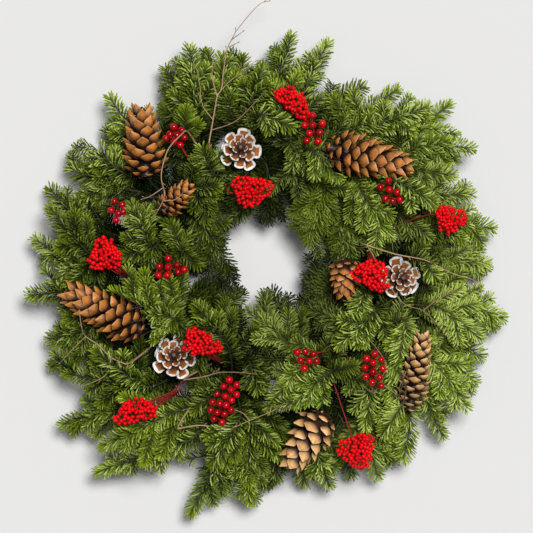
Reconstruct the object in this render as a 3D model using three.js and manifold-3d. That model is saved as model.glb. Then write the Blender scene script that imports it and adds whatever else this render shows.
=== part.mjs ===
// A fresh evergreen wreath that lies on its back, in millimetres, +Z towards the front.
// Bunches of fir tips are held in the prongs of a wire clamp ring and fan out over its
// rim, over its face and into its hole. Pine cones, red berries and thin twigs are
// pushed in between them, each on a wire or stem that goes down to the ring.

import * as THREE from "three";
import { mergeVertices } from "three/addons/utils/BufferGeometryUtils.js";
import Module from "manifold-3d";

const wasm = await Module();
wasm.setup();

// ---- Driving dimensions -------------------------------------------------------------

// The middle of the outline, with the longest twig, lies this far above the ring's centre.
const OUTLINE_OFFSET = [2, 14];
const GAP = 0.3; // running gap wherever one piece sits against another
const SLIVER = 0.02; // slips of face thinner than this are taken out of a joined solid

// The clamp ring.
const RING_INNER = 131; // to the middle of each hoop's wire
const RING_OUTER = 159;
const RING_WIRE = 2.1; // radius across the corners of the wire's six flats
const WIRE_SIDES = 6;
const HOOP_SIDES = 20;
const CLAMPS = 16;
const FIRST_CLAMP = 130; // degrees, counter-clockwise from +X
const PRONG_WIRE = 1.6;
const PRONG_REACH = 11; // how far a closed prong's end lies from its hoop
const PRONG_RISE = 0.6;

// The bunches of fir.
const HANDLE_RADIUS = 5; // the stems of one bunch, gripped together
const HANDLE_LENGTH = 44;
const OUTER_SLOT = 152.4; // where the bunches for the rim and for the face lie in a clamp
const INNER_SLOT = 140;
const STEM_RADIUS = 2.3;
const TIP_RADIUS = 1.5;
const NEEDLE = 22; // length of a fir needle
const NEEDLE_LEAN = 56; // degrees between a needle and its shoot
const NEEDLE_FOOT = 4; // length of shoot that one ring of needles stands on
const WHORL_PITCH = 34; // from one ring of needles to the next
const FIRST_WHORL = 2.5; // from where the needles begin to their first ring
const LAST_WHORL = 13.6; // from the last ring of needles to the tip
const LONG_BARE_STEM = 34; // a bare stretch longer than this has a ring of needles too
const LOWEST_NEEDLE = 3;
const LOWEST_START = 20; // of a shoot
const LOWEST_TIP = 22;

// Cones, berries and twigs.
const CONE_WIRE = 1.1; // radius of the wires that cones stand on
const CONE_WIRE_START = 7; // how deep inside a cone its wire begins
const SMALL_CONE = 50; // width under which a cone has six scales side by side, not seven
const CONE_ROW = 13; // from one row of scales to the next
const FEWEST_ROWS = 6;
const SCALE_TURN = 0.26; // half the width of a scale's lip, as a share of the way round
const STALK = 1.2; // radius of the stalk of a spray
const BERRY_STEM = 0.75;
const PEPPER_PITCH = 6.2; // least distance between two small berries
const TWIG = 1.3;
const HIGHEST_LIFT = 112; // stalks and twigs are not lifted above this

const COLOURS = {
  fir: 0x3f6b24,
  wire: 0x2f4a34,
  cone: 0xa5682f,
  frost: 0xe9e4dc,
  berry: 0xb01020,
  pepper: 0xd8101c,
  twig: 0x9a7550,
};

// ---- The layout ----------------------------------------------------------------------
// Plan places are measured from the ring's centre, +X right and +Y up as the wreath hangs.
// A shoot is [where its needles begin x, y, z, its tip x, y, z].

const OUTER_BUNCHES = [
  { clamp: 0, shoots: [[-93, 199, 44, -127, 257, 34], [-87, 212, 62, -95, 283, 48],
    [-72, 208, 46, -71, 278, 30], [-100, 160, 88, -98, 206, 98]] },
  { clamp: 1, shoots: [[-50, 214, 60, -55, 274, 44], [-34, 214, 44, -28, 272, 34],
    [-20, 203, 64, -4, 260, 50], [7, 212, 50, 33, 299, 40]] },
  { clamp: 2, shoots: [[46, 221, 56, 79, 289, 40], [69, 205, 46, 125, 232, 36],
    [85, 172, 74, 140, 189, 68], [14, 190, 72, 42, 250, 70]] },
  { clamp: 3, shoots: [[118, 197, 56, 167, 229, 44], [146, 187, 72, 205, 208, 58],
    [176, 172, 50, 231, 212, 38]] },
  { clamp: 4, shoots: [[187, 158, 61, 261, 153, 48], [183, 128, 43, 236, 121, 54],
    [159, 113, 84, 212, 81, 80], [204, 99, 50, 260, 97, 37]] },
  { clamp: 5, shoots: [[218, 62, 54, 285, 54, 38], [224, 17, 42, 279, 11, 36],
    [196, 14, 76, 210, -9, 92]] },
  { clamp: 6, shoots: [[230, -32, 56, 298, -58, 38], [214, -43, 70, 269, -85, 56],
    [226, -77, 38, 271, -107, 28]] },
  { clamp: 7, shoots: [[216, -94, 54, 262, -139, 42], [204, -104, 72, 251, -171, 54],
    [196, -150, 44, 221, -207, 32]] },
  { clamp: 8, shoots: [[178, -176, 62, 169, -235, 46], [160, -194, 36, 152, -244, 24],
    [125, -205, 52, 139, -258, 36], [168, -160, 84, 139, -203, 78]] },
  { clamp: 9, shoots: [[101, -203, 38, 106, -256, 24], [60, -215, 52, 80, -269, 36],
    [42, -210, 36, 47, -266, 24]] },
  { clamp: 10, shoots: [[7, -204, 46, 14, -261, 30], [-20, -196, 62, -21, -289, 40],
    [-40, -212, 38, -50, -273, 24], [-32, -180, 82, -71, -241, 62]] },
  { clamp: 11, shoots: [[-52, -215, 48, -96, -303, 32], [-93, -206, 62, -214, -248, 42],
    [-124, -176, 78, -208, -216, 60]] },
  { clamp: 12, shoots: [[-180, -168, 50, -257, -189, 36], [-149, -141, 66, -253, -123, 52],
    [-166, -130, 74, -214, -92, 70]] },
  { clamp: 13, shoots: [[-214, -96, 36, -271, -118, 24], [-212, -64, 46, -273, -84, 34],
    [-235, -25, 60, -298, -28, 46]] },
  { clamp: 14, shoots: [[-226, 2, 46, -290, 45, 36], [-216, 22, 66, -271, 85, 52],
    [-228, 60, 42, -271, 108, 30]] },
  { clamp: 15, shoots: [[-198, 110, 50, -247, 132, 38], [-186, 130, 66, -221, 163, 52],
    [-161, 169, 56, -196, 221, 42], [-172, 146, 34, -200, 182, 24]] },
];

const INNER_BUNCHES = [
  { clamp: 1, shoots: [[-30, 110, 62, -32, 64, 52], [-8, 196, 82, 38, 177, 84],
    [2, 128, 40, 4, 58, 40], [-66, 122, 58, -80, 158, 84]] },
  { clamp: 3, shoots: [[72, 101, 72, 50, 33, 62], [34, 120, 56, 85, 86, 62],
    [30, 160, 66, 62, 118, 76], [57, 150, 82, 93, 112, 90]] },
  { clamp: 4, shoots: [[104, 128, 76, 156, 39, 80], [94, 70, 60, 106, 4, 72],
    [165, 72, 50, 205, 40, 56]] },
  { clamp: 6, shoots: [[80, -20, 46, 46, -7, 42], [123, -22, 72, 108, -60, 82],
    [97, -62, 52, 52, -44, 48], [134, -49, 76, 84, -92, 72]] },
  { clamp: 7, shoots: [[172, -58, 76, 160, -128, 84], [130, -112, 60, 122, -197, 72],
    [120, -90, 44, 110, -150, 48]] },
  { clamp: 9, shoots: [[60, -98, 66, 20, -138, 76], [79, -123, 74, 32, -167, 82],
    [32, -65, 50, 4, -18, 42], [18, -79, 66, -26, -44, 56]] },
  { clamp: 11, shoots: [[-20, -110, 50, -8, -150, 72], [-66, -62, 58, -24, -22, 46],
    [-50, -84, 76, -90, -36, 80], [-50, -139, 70, -92, -172, 72]] },
  { clamp: 13, shoots: [[-112, -56, 76, -194, -20, 84], [-96, -28, 50, -48, -34, 44],
    [-96, -52, 46, -72, -106, 62]] },
  { clamp: 15, shoots: [[-78, 58, 56, -40, 0, 44], [-140, 30, 72, -168, 90, 78],
    [-104, 24, 64, -120, 68, 80], [-86, 104, 74, -72, 60, 66]] },
];

// Cones: [base x, y, z, tip x, y, z, width]. The frosted ones stand tip up.
const BROWN_CONES = {
  upper_left: [-147, 115, 76, -155, 211, 70, 58],
  top_right: [72, 155, 84, 183, 128, 78, 58],
  lower_left: [-148, -73, 78, -254, -19, 64, 58],
  small_left: [-128, 74, 96, -90, 111, 96, 37],
  centre_right: [98, 18, 92, 95, -33, 76, 42],
  lower_right: [176, -172, 70, 194, -69, 80, 42],
  bottom: [74, -172, 84, 24, -243, 68, 57],
};
const FROSTED_CONES = {
  top: [-32, 150, 44, -31, 155, 96, 54],
  lower_left: [-113, -106, 42, -113, -100, 94, 56],
  right: [163, -6, 42, 169, -6, 94, 52],
};

// The two ways a cone's scales stand: the body under them is `sunk` inside the cone, and a
// scale's lip lies `lead` rows past its foot. narrow(t) is how the cone draws in to its tip.
const CLOSED = {
  sunk: 0.17,
  lead: 2.2,
  narrow: (t) => Math.sqrt(clamp01((1.06 - t) / 0.72)),
};
const OPEN = {
  sunk: 0.24,
  lead: 1.5,
  narrow: (t) => 1 - 0.62 * t,
};

// Berry sprays: the stalk's plan points from its far end to the end that turns down to
// the ring, the stalk's height and the berries' plan points.
const GLOSSY_SPRAYS = {
  upper_left: { z: 78, stalk: [[-110, 180], [-106, 160]],
    at: [[-112, 181], [-101, 175], [-118, 168], [-107, 167], [-98, 160]] },
  top: { z: 80, stalk: [[56, 188], [60, 168]],
    at: [[58, 191], [48, 180], [68, 181], [55, 170], [65, 170]] },
  left: { z: 80, stalk: [[-181, 85], [-184, 70]],
    at: [[-186, 88], [-176, 83], [-190, 76], [-180, 72]] },
  inner_left: { z: 80, stalk: [[-128, 2], [-108, 8]],
    at: [[-120, 18], [-131, 8], [-110, 9], [-120, 6], [-124, -3]] },
  right: { z: 82, stalk: [[149, 108], [149, 94]],
    at: [[150, 112], [140, 104], [151, 100], [160, 98], [147, 90]] },
  bottom: { z: 82, stalk: [[-44, -138], [-52, -158], [-61, -176]],
    at: [[-45, -132], [-52, -142], [-39, -144], [-50, -153],
      [-61, -162], [-43, -160], [-53, -170], [-64, -175]] },
  lower: { z: 84, stalk: [[41, -108], [49, -103]],
    at: [[39, -98], [50, -98], [55, -106], [44, -107], [41, -116]] },
  lower_right: { z: 84, stalk: [[132, -106], [131, -132]],
    at: [[133, -102], [124, -108], [139, -112], [129, -118],
      [141, -122], [124, -129], [134, -132]] },
};
// The small berries lie anywhere within `spread` of their stalk.
const PEPPER_SPRAYS = {
  top: { z: 74, stalk: [[20, 222], [34, 212], [48, 196]], spread: 11, count: 5 },
  inner_top: { z: 86, stalk: [[2, 108], [-18, 100], [-42, 98]], spread: 14, count: 6 },
  left: { z: 76, stalk: [[-212, 34], [-198, 20], [-178, 2]], spread: 12, count: 5 },
  inner_left: { z: 84, stalk: [[-98, -72], [-82, -84], [-66, -98]], spread: 13, count: 5 },
  right: { z: 72, stalk: [[240, 62], [224, 66], [206, 72]], spread: 13, count: 5 },
  inner_right: { z: 96, stalk: [[142, -18], [130, -6], [126, 18]], spread: 12, count: 5 },
  lower_left: { z: 78, stalk: [[-182, -172], [-158, -166], [-128, -156]], spread: 14, count: 6 },
  bottom: { z: 74, stalk: [[112, -238], [110, -218], [104, -198]], spread: 15, count: 6 },
};

// The two kinds of berry: their radius, how high they stand over the stalk and the rings of
// corners between their stem and their tip, as [height, radius] shares of the berry's own.
const GLOSSY = {
  kind: "glossy_berries", radius: 4.6, rise: 11, colour: COLOURS.berry,
  sides: 5, rings: [[-0.45, 0.89], [0.45, 0.89]],
};
const PEPPER = {
  kind: "pepperberries", radius: 2.8, rise: 8, colour: COLOURS.pepper,
  sides: 4, rings: [[0, 1]],
};

// Twigs: heights at the start and the end, then lines. Each twig's first line starts at the
// end that turns down to the ring.
const TWIGS = {
  top: { z: [88, 50], lines: [
    [[-70, 160], [-65, 188], [-60, 217], [-55, 226], [-52, 251], [-48, 275], [-42, 288],
      [-34, 302], [-10, 330], [4, 336]],
    [[-43, 287], [-28, 298]],
    [[-46, 278], [-34, 284]],
    [[-55, 225], [-44, 236], [-15, 259], [-5, 262]],
    [[-60, 217], [-66, 240], [-65, 265]],
    [[-65, 188], [-78, 206], [-81, 228], [-85, 250]],
    [[-68, 175], [-38, 186], [-14, 209], [-1, 223]]] },
  upper_left: { z: [104, 104], lines: [
    [[-99, 174], [-118, 154], [-126, 133], [-128, 115], [-124, 96], [-131, 78], [-140, 68]],
    [[-126, 104], [-141, 94], [-152, 90]],
    [[-125, 88], [-110, 90], [-100, 100]]] },
  left: { z: [84, 60], lines: [
    [[-172, -112], [-190, -104], [-207, -88], [-222, -78], [-226, -66], [-229, -46]],
    [[-222, -78], [-239, -95], [-254, -111]],
    [[-190, -104], [-196, -124], [-212, -134], [-229, -140]]] },
  lower: { z: [88, 90], lines: [
    [[-100, -131], [-75, -127], [-57, -122], [-34, -122], [-12, -124]]] },
  bottom: { z: [90, 88], lines: [
    [[-108, -191], [-85, -187], [-69, -188], [-44, -190], [-20, -181], [9, -169]],
    [[-36, -188], [-54, -199]],
    [[-20, -181], [-30, -171], [-48, -166]],
    [[9, -169], [22, -160]]] },
  lower_right: { z: [92, 88], lines: [
    [[133, -147], [140, -134], [147, -113], [142, -101], [129, -84]],
    [[140, -134], [152, -143], [163, -150], [164, -139], [171, -122]],
    [[163, -150], [160, -166], [159, -180]]] },
  right: { z: [102, 70], lines: [
    [[124, 34], [159, 23], [186, 18], [200, 14], [230, -1], [257, -10], [271, -31]],
    [[124, 34], [140, 6], [155, -21], [171, -39], [192, -46], [211, -64], [224, -80]],
    [[192, -46], [214, -30], [237, -20]]] },
};

// ---- Small helpers -------------------------------------------------------------------

const { lerp, degToRad, radToDeg, euclideanModulo } = THREE.MathUtils;
const V = (x, y, z) => new THREE.Vector3(x, y, z);
const UP = V(0, 0, 1);

function clamp01(value) {
  return Math.min(1, Math.max(0, value));
}

function times(count, make) {
  return Array.from({ length: count }, (_, i) => make(i));
}

function direction(from, to) {
  return to.clone().sub(from).normalize();
}

// The part of a direction that stands square to another one.
function squareTo(along, side) {
  return side.clone().addScaledVector(along, -side.dot(along)).normalize();
}

function polar(radius, degrees, z) {
  const angle = degToRad(degrees);
  return V(radius * Math.cos(angle), radius * Math.sin(angle), z);
}

function curve(a, b, c, d) {
  return new THREE.CubicBezierCurve3(a, b, c, d).getPoints(3);
}

// Nothing, one step to either side, two steps to either side and so on.
function offsets(step, count) {
  return [0, ...times(count, (i) => [(i + 1) * step, -(i + 1) * step]).flat()];
}

function cheapest(choices) {
  return choices.reduce((a, b) => (b.cost < a.cost ? b : a));
}

function seeded(seed) {
  let s = seed >>> 0;
  return () => {
    s = (s + 0x6d2b79f5) >>> 0;
    let t = Math.imul(s ^ (s >>> 15), 1 | s);
    t = (t + Math.imul(t ^ (t >>> 7), 61 | t)) ^ t;
    return ((t ^ (t >>> 14)) >>> 0) / 4294967296;
  };
}

// ---- Clearances ----------------------------------------------------------------------
// Everything placed so far, as tapering rods that know their node and their part of it.

const placed = [];
const FAR_APART = 12; // rods further apart than this are not compared
const HOPELESS = -2;

function makeRod(a, b, ra, rb, node, part = node) {
  const run = b.clone().sub(a);
  const mid = a.clone().lerp(b, 0.5);
  return { a, run, ra, rb, node, part, mid, reach: run.length() / 2 + Math.max(ra, rb) };
}

function chain(points, radius, node) {
  return points.slice(1).map((b, i) => makeRod(points[i], b, radius(i), radius(i + 1), node));
}

const between = V(0, 0, 0);

// Shortest distance between two rods' middle lines, less both radii at that place.
function rodGap(p, q) {
  between.subVectors(p.a, q.a);
  const pp = p.run.lengthSq() + 1e-9;
  const qq = q.run.lengthSq() + 1e-9;
  const pq = p.run.dot(q.run);
  const onP = p.run.dot(between);
  const onQ = q.run.dot(between);
  const skew = pp * qq - pq * pq;
  const nearP = skew > 1e-6 ? clamp01((pq * onQ - onP * qq) / skew) : 0.5;
  const t = clamp01((pq * nearP + onQ) / qq);
  const s = clamp01((pq * t - onP) / pp);
  between.addScaledVector(p.run, s).addScaledVector(q.run, -t);
  return between.length() - lerp(p.ra, p.rb, s) - lerp(q.ra, q.rb, t);
}

// The smallest gap between these rods and what is placed, but for what skip() names.
function clearance(rods, skip) {
  let least = Infinity;
  for (const rod of rods) {
    for (const other of placed) {
      if (skip(other)) continue;
      const atLeast = rod.mid.distanceTo(other.mid) - rod.reach - other.reach;
      if (atLeast > Math.min(least, FAR_APART)) continue;
      least = Math.min(least, rodGap(rod, other));
      if (least < HOPELESS) return least;
    }
  }
  return least;
}

function clearOfOthers(rods, node) {
  return clearance(rods, (other) => other.node === node);
}

// ---- Closed shells -------------------------------------------------------------------

function newShell() {
  return { points: [], faces: [] };
}

function addPoint(shell, p) {
  shell.points.push(p.x, p.y, p.z);
  return shell.points.length / 3 - 1;
}

function quad(shell, a, b, c, d) {
  shell.faces.push(a, b, c, a, c, d);
}

// A flat lid on a ring of corners.
function cap(shell, ring) {
  for (let k = 1; k + 1 < ring.length; k++) shell.faces.push(ring[0], ring[k], ring[k + 1]);
}

// Faces from every edge of a ring of corners up to one point.
function fan(shell, ring, apex) {
  ring.forEach((corner, k) => shell.faces.push(corner, ring[(k + 1) % ring.length], apex));
}

// Directions along a line and to its side at every point, carried along without twisting.
function frames(points) {
  let side = null;
  return points.map((p, i) => {
    const before = points[Math.max(0, i - 1)];
    const after = points[Math.min(points.length - 1, i + 1)];
    const along = direction(before, after);
    if (!side) side = Math.abs(along.z) < 0.9 ? V(0, 0, 1) : V(1, 0, 0);
    side = squareTo(along, side);
    return { along, side, over: along.clone().cross(side) };
  });
}

const SQUARE = () => Math.PI / 4; // sets a four-sided tube on its flats
const NO_SPIKE = () => null;

// A closed tube along a line of points; `pointed` draws its end in to the last point.
// spike(i, foot, out, along) may hand back the tip of a needle for a side of the band that
// follows ring i.
function tube(points, radius, sides, { twist = () => 0, spike = NO_SPIKE, pointed = false } = {}) {
  const shell = newShell();
  const frame = frames(points);
  const outward = (i, k) => {
    const turn = twist(i) + (k / sides) * 2 * Math.PI;
    return frame[i].side.clone().multiplyScalar(Math.cos(turn))
      .addScaledVector(frame[i].over, Math.sin(turn));
  };
  const rings = times(points.length - (pointed ? 1 : 0), (i) => times(sides, (k) =>
    addPoint(shell, points[i].clone().addScaledVector(outward(i, k), radius(i)))));
  for (let i = 0; i + 1 < rings.length; i++) {
    for (let k = 0; k < sides; k++) {
      const next = (k + 1) % sides;
      const corners = [rings[i][k], rings[i][next], rings[i + 1][next], rings[i + 1][k]];
      const out = outward(i, k + 0.5);
      const foot = points[i].clone().lerp(points[i + 1], 0.5)
        .addScaledVector(out, radius(i) * Math.cos(Math.PI / sides));
      const tip = spike(i, foot, out, frame[i].along);
      if (tip) fan(shell, corners, addPoint(shell, tip));
      else quad(shell, ...corners);
    }
  }
  cap(shell, rings[0].slice().reverse());
  const end = rings[rings.length - 1];
  if (pointed) fan(shell, end, addPoint(shell, points[points.length - 1]));
  else cap(shell, end);
  return shell;
}

// ---- Nodes ---------------------------------------------------------------------------

const wreath = new THREE.Group();
wreath.name = "evergreen_wreath";

function solid(shell) {
  return new wasm.Manifold(new wasm.Mesh({
    numProp: 3,
    vertProperties: new Float32Array(shell.points),
    triVerts: new Uint32Array(shell.faces),
  }));
}

function geometryOf(shape) {
  const mesh = shape.getMesh();
  const places = new THREE.BufferAttribute(new Float32Array(mesh.vertProperties), 3);
  const geometry = new THREE.BufferGeometry().setAttribute("position", places);
  geometry.setIndex(new THREE.BufferAttribute(new Uint32Array(mesh.triVerts), 1));
  const merged = mergeVertices(geometry, 1e-3);
  merged.translate(-OUTLINE_OFFSET[0], -OUTLINE_OFFSET[1], 0);
  merged.computeVertexNormals();
  return merged;
}

// The shells of one node run into each other and become one solid.
function addNode(name, shells, colour) {
  const shape = wasm.Manifold.union(shells.map(solid)).simplify(SLIVER);
  const material = new THREE.MeshStandardMaterial({ color: colour, roughness: 0.7 });
  const mesh = new THREE.Mesh(geometryOf(shape), material);
  mesh.name = name;
  wreath.add(mesh);
}

// ---- The clamp ring ------------------------------------------------------------------

const HOOP_STEP = 360 / HOOP_SIDES;
const HOOP_MIDDLE = RING_WIRE * Math.cos(Math.PI / WIRE_SIDES); // the hoops lie on a flat
const HOOP_TOP = 2 * HOOP_MIDDLE;
const PRONG_HALF = PRONG_WIRE * Math.SQRT1_2;
const HANDLE_Z = HOOP_TOP + PRONG_HALF + GAP + HANDLE_RADIUS;
const PRONG_Z = HANDLE_Z + HANDLE_RADIUS + GAP + PRONG_HALF;

function hoop(radius) {
  const shell = newShell();
  const rings = times(HOOP_SIDES, (i) => times(WIRE_SIDES, (k) => {
    const turn = k * 2 * Math.PI / WIRE_SIDES;
    const out = radius + RING_WIRE * Math.cos(turn);
    const up = HOOP_MIDDLE + RING_WIRE * Math.sin(turn);
    return addPoint(shell, polar(out, i * HOOP_STEP, up));
  }));
  rings.forEach((a, i) => {
    const b = rings[(i + 1) % HOOP_SIDES];
    a.forEach((corner, k) => {
      const next = (k + 1) % WIRE_SIDES;
      quad(shell, corner, b[k], b[next], a[next]);
    });
  });
  return shell;
}

function hoopRods(radius) {
  const corners = times(HOOP_SIDES + 1, (i) => polar(radius, i * HOOP_STEP, HOOP_MIDDLE));
  return chain(corners, () => RING_WIRE, "ring");
}

// The hoops are many-sided: between two corners their wire lies a little further in.
function onHoop(radius, degrees) {
  const pastMiddle = euclideanModulo(degrees, HOOP_STEP) - HOOP_STEP / 2;
  return radius * Math.cos(Math.PI / HOOP_SIDES) / Math.cos(degToRad(pastMiddle));
}

function clampAngle(k) {
  return FIRST_CLAMP - k * 360 / CLAMPS;
}

// A bar across both hoops whose ends stand up and are closed over the bunches.
function clampLine(k) {
  const at = clampAngle(k);
  return [
    polar(RING_INNER + PRONG_REACH, at, PRONG_Z + PRONG_RISE),
    polar(RING_INNER, at, PRONG_Z),
    polar(RING_INNER, at, HOOP_TOP),
    polar(RING_OUTER, at, HOOP_TOP),
    polar(RING_OUTER, at, PRONG_Z),
    polar(RING_OUTER - PRONG_REACH, at, PRONG_Z + PRONG_RISE),
  ];
}

function addRing() {
  const radii = [RING_INNER, RING_OUTER];
  const clamps = times(CLAMPS, clampLine);
  const shells = [
    ...radii.map(hoop),
    ...clamps.map((line) => tube(line, () => PRONG_WIRE, 3, { twist: () => Math.PI })),
  ];
  placed.push(...radii.flatMap(hoopRods));
  placed.push(...clamps.flatMap((line) => chain(line, () => PRONG_WIRE * 0.9, "ring")));
  addNode("ring", shells, COLOURS.wire);
}

// ---- Ways down to the ring -----------------------------------------------------------
// Cones, sprays and twigs wait here until the fir is placed; then each gets a wire or stem.

const waiting = [];
const BEND_Z = 26; // height at which a wire has turned straight down
const FREE_WIRE = 0.35; // gap that a wire must keep
const INNER_FOOT = RING_INNER - 1.6; // a foot stands beside the top of the hoop's wire
const OUTER_FOOT = RING_OUTER + 1.2;

// Where a wire could stand, the places nearest to the piece first, and how far it is drawn
// out before it bends.
function feet(from) {
  const own = radToDeg(Math.atan2(from.y, from.x));
  const places = offsets(3.5, 9).flatMap((turn) => [INNER_FOOT, OUTER_FOOT].map((radius) =>
    polar(onHoop(radius, own + turn), own + turn, HOOP_TOP + GAP)));
  return places.flatMap((foot) => [10, 22].map((pull) => ({ foot, pull })));
}

function wayDown({ from, leave, radius, node }) {
  let best = null;
  for (const { foot, pull } of feet(from)) {
    const ahead = from.clone().addScaledVector(leave, pull);
    const bend = curve(from, ahead, foot.clone().setZ(BEND_Z + pull), foot.clone().setZ(BEND_Z));
    const standing = foot.clone().setZ(foot.z + radius); // its flat end stands on the hoop
    const rods = chain([...bend, standing], () => radius, node);
    const gap = clearOfOthers(rods, node);
    if (!best || gap > best.gap) best = { gap, line: [...bend, foot], rods };
    if (gap >= FREE_WIRE) break;
  }
  if (best.gap < FREE_WIRE) console.log("no free way down for", node);
  placed.push(...best.rods);
  return best.line;
}

// ---- Cones ---------------------------------------------------------------------------

// Radius of a cone as a share of half its width, from its base (0) to its tip (1).
function coneProfile(t, form) {
  const swell = Math.sqrt(clamp01(t / 0.22));
  return Math.min(swell, form.narrow(t), 1);
}

// Finds places in a cone: t runs from its base to its tip, turn goes round it.
function coneSpace(base, tip) {
  const run = tip.clone().sub(base);
  const along = direction(base, tip);
  const side = squareTo(along, Math.abs(along.z) < 0.8 ? V(0, 0, 1) : V(1, 0, 0));
  const over = along.clone().cross(side);
  return (t, turn, radius) => base.clone().addScaledVector(run, t)
    .addScaledVector(side, Math.cos(turn) * radius)
    .addScaledVector(over, Math.sin(turn) * radius);
}

// One scale stands on four neighbours of the net and ends in a lip of two points.
function addScale(shell, [low, right, high, left], [a, b]) {
  shell.faces.push(low, b, a, low, right, b, right, high, b);
  shell.faces.push(high, a, b, high, left, a, left, low, a);
}

// Closes one end of the net with a fan, and the half-row of holes beside it.
function closeEnd(shell, end, beside, shift, apex) {
  const per = end.length;
  end.forEach((corner, k) => {
    const next = end[(k + 1) % per];
    shell.faces.push(corner, next, apex, next, corner, beside[(k + shift) % per]);
  });
}

// The body of a cone is a net of corners in staggered rows, with a scale on every mesh.
function coneShell(base, tip, width, form) {
  const shell = newShell();
  const place = coneSpace(base, tip);
  const per = width < SMALL_CONE ? 6 : 7;
  const step = 2 * Math.PI / per;
  const rows = Math.max(FEWEST_ROWS, Math.round(base.distanceTo(tip) / CONE_ROW));
  const level = (row) => 0.04 + 0.9 * row / rows;
  const body = (row) => coneProfile(level(row), form) * width * (0.5 - form.sunk);
  const net = times(rows + 1, (row) => times(per, (k) =>
    addPoint(shell, place(level(row), (k + (row % 2) / 2) * step, body(row)))));
  for (let row = 0; row + 2 <= rows; row++) {
    const odd = row % 2;
    const t = level(row + form.lead);
    const lip = coneProfile(Math.min(t, 0.97), form) * width / 2;
    for (let k = 0; k < per; k++) {
      const right = net[row + 1][(k + odd) % per];
      const left = net[row + 1][(k + odd + per - 1) % per];
      const turn = (k + odd / 2) * step;
      const ends = [-SCALE_TURN, SCALE_TURN].map((share) =>
        addPoint(shell, place(t, turn + share * step, lip)));
      addScale(shell, [net[row][k], right, net[row + 2][k], left], ends);
    }
  }
  const first = net[0].slice().reverse();
  closeEnd(shell, first, net[1].slice().reverse(), 1, addPoint(shell, base));
  closeEnd(shell, net[rows], net[rows - 1], rows % 2, addPoint(shell, tip));
  return shell;
}

function coneRods(base, tip, width, form, node) {
  const cuts = [0, 0.05, 0.12, 0.22, 0.4, 0.6, 0.75, 0.88, 1];
  const points = cuts.map((t) => base.clone().lerp(tip, t));
  const radii = cuts.map((t) => coneProfile(Math.max(t, 0.02), form) * width / 2 + 0.8);
  return chain(points, (i) => radii[i], node);
}

function addCone(node, [bx, by, bz, tx, ty, tz, width], form, colour) {
  const base = V(bx, by, bz);
  const tip = V(tx, ty, tz);
  const back = direction(tip, base);
  placed.push(...coneRods(base, tip, width, form, node));
  waiting.push({
    node, colour, radius: CONE_WIRE, shells: [coneShell(base, tip, width, form)],
    from: base.clone().addScaledVector(back, -CONE_WIRE_START), leave: back,
  });
}

// ---- Berries -------------------------------------------------------------------------

// A berry in one piece with its stem, which starts at the root.
function berryShell(root, centre, { radius, sides, rings }) {
  const way = direction(root, centre);
  const at = (share) => centre.clone().addScaledVector(way, share * radius);
  const points = [root, at(-1), ...rings.map(([height]) => at(height)), at(1)];
  const radii = [BERRY_STEM, BERRY_STEM, ...rings.map(([, share]) => share * radius)];
  const twist = (i) => (i > 2 ? -Math.PI / sides : 0); // the last ring stands in the gaps
  return tube(points, (i) => radii[i], sides, { twist, pointed: true });
}

// The place of a stalk nearest to a berry, but for its joints and ends.
function nearestOn(stalk, p) {
  const spots = stalk.slice(1).map((b, i) => {
    const t = new THREE.Line3(stalk[i], b).closestPointToPointParameter(p, true);
    return stalk[i].clone().lerp(b, lerp(0.1, 0.9, t));
  });
  return spots.reduce((a, b) => (b.distanceTo(p) < a.distanceTo(p) ? b : a));
}

// Raises a berry until it lies clear of what is there and of the other berries, or gives up.
function placeBerry(root, centre, form, node) {
  for (let tries = 0; tries < 9; tries++) {
    const rods = [
      makeRod(centre, centre.clone().setZ(centre.z + 0.01), form.radius, form.radius, node, "berry"),
      makeRod(root, centre, BERRY_STEM, BERRY_STEM, node),
    ];
    if (clearance(rods, (o) => o.node === node && o.part !== "berry") >= GAP) {
      placed.push(...rods);
      return true;
    }
    centre.z += 2;
  }
  return false;
}

function addSpray(form, name, { stalk: plan, z }, places, seed) {
  const node = `${form.kind}_${name}`;
  const random = seeded(seed);
  const stalk = plan.map(([x, y]) => V(x, y, z));
  liftClear(stalk, STALK, node);
  placed.push(...chain(stalk, () => STALK, node));
  const shells = [tube(stalk, () => STALK, 4, { twist: SQUARE })];
  for (const [x, y] of places) {
    const centre = V(x, y, stalk[0].z + form.rise + random() * 5);
    const root = nearestOn(stalk, centre);
    if (placeBerry(root, centre, form, node)) shells.push(berryShell(root, centre, form));
  }
  const [before, end] = stalk.slice(-2);
  const leave = direction(before, end);
  waiting.push({ node, shells, colour: form.colour, radius: STALK, from: end, leave });
}

function pepperPlaces({ stalk, spread, count }, seed) {
  const random = seeded(seed);
  const out = [];
  for (let tries = 0; out.length < count && tries < 900; tries++) {
    const i = Math.floor(random() * (stalk.length - 1));
    const t = random();
    const x = lerp(stalk[i][0], stalk[i + 1][0], t) + (random() - 0.5) * 2 * spread;
    const y = lerp(stalk[i][1], stalk[i + 1][1], t) + (random() - 0.5) * 2 * spread;
    if (out.every(([u, v]) => Math.hypot(u - x, v - y) > PEPPER_PITCH)) out.push([x, y]);
  }
  return out;
}

// Raises the points of a line, two at a time, until it lies over what is already there.
function liftClear(line, radius, node) {
  const isFree = (i) => line[i].z > HIGHEST_LIFT
    || clearOfOthers([makeRod(line[i], line[i + 1], radius, radius, node)], node) >= 0.5;
  for (let pass = 0; pass < 20; pass++) {
    let moved = false;
    for (let i = 0; i + 1 < line.length; i++) {
      if (isFree(i)) continue;
      line[i].z += 2.5;
      line[i + 1].z += 2.5;
      moved = true;
    }
    if (!moved) return;
  }
}

// ---- Twigs ---------------------------------------------------------------------------

// Starts a side twig at the nearest point of the lines before it, and at its height.
function joinTo(main, line) {
  const away = (p) => Math.hypot(p.x - line[0].x, p.y - line[0].y);
  const joint = main.reduce((a, b) => (away(b) < away(a) ? b : a));
  line.forEach((p) => p.setZ(joint.z));
  line[0].copy(joint);
}

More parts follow.
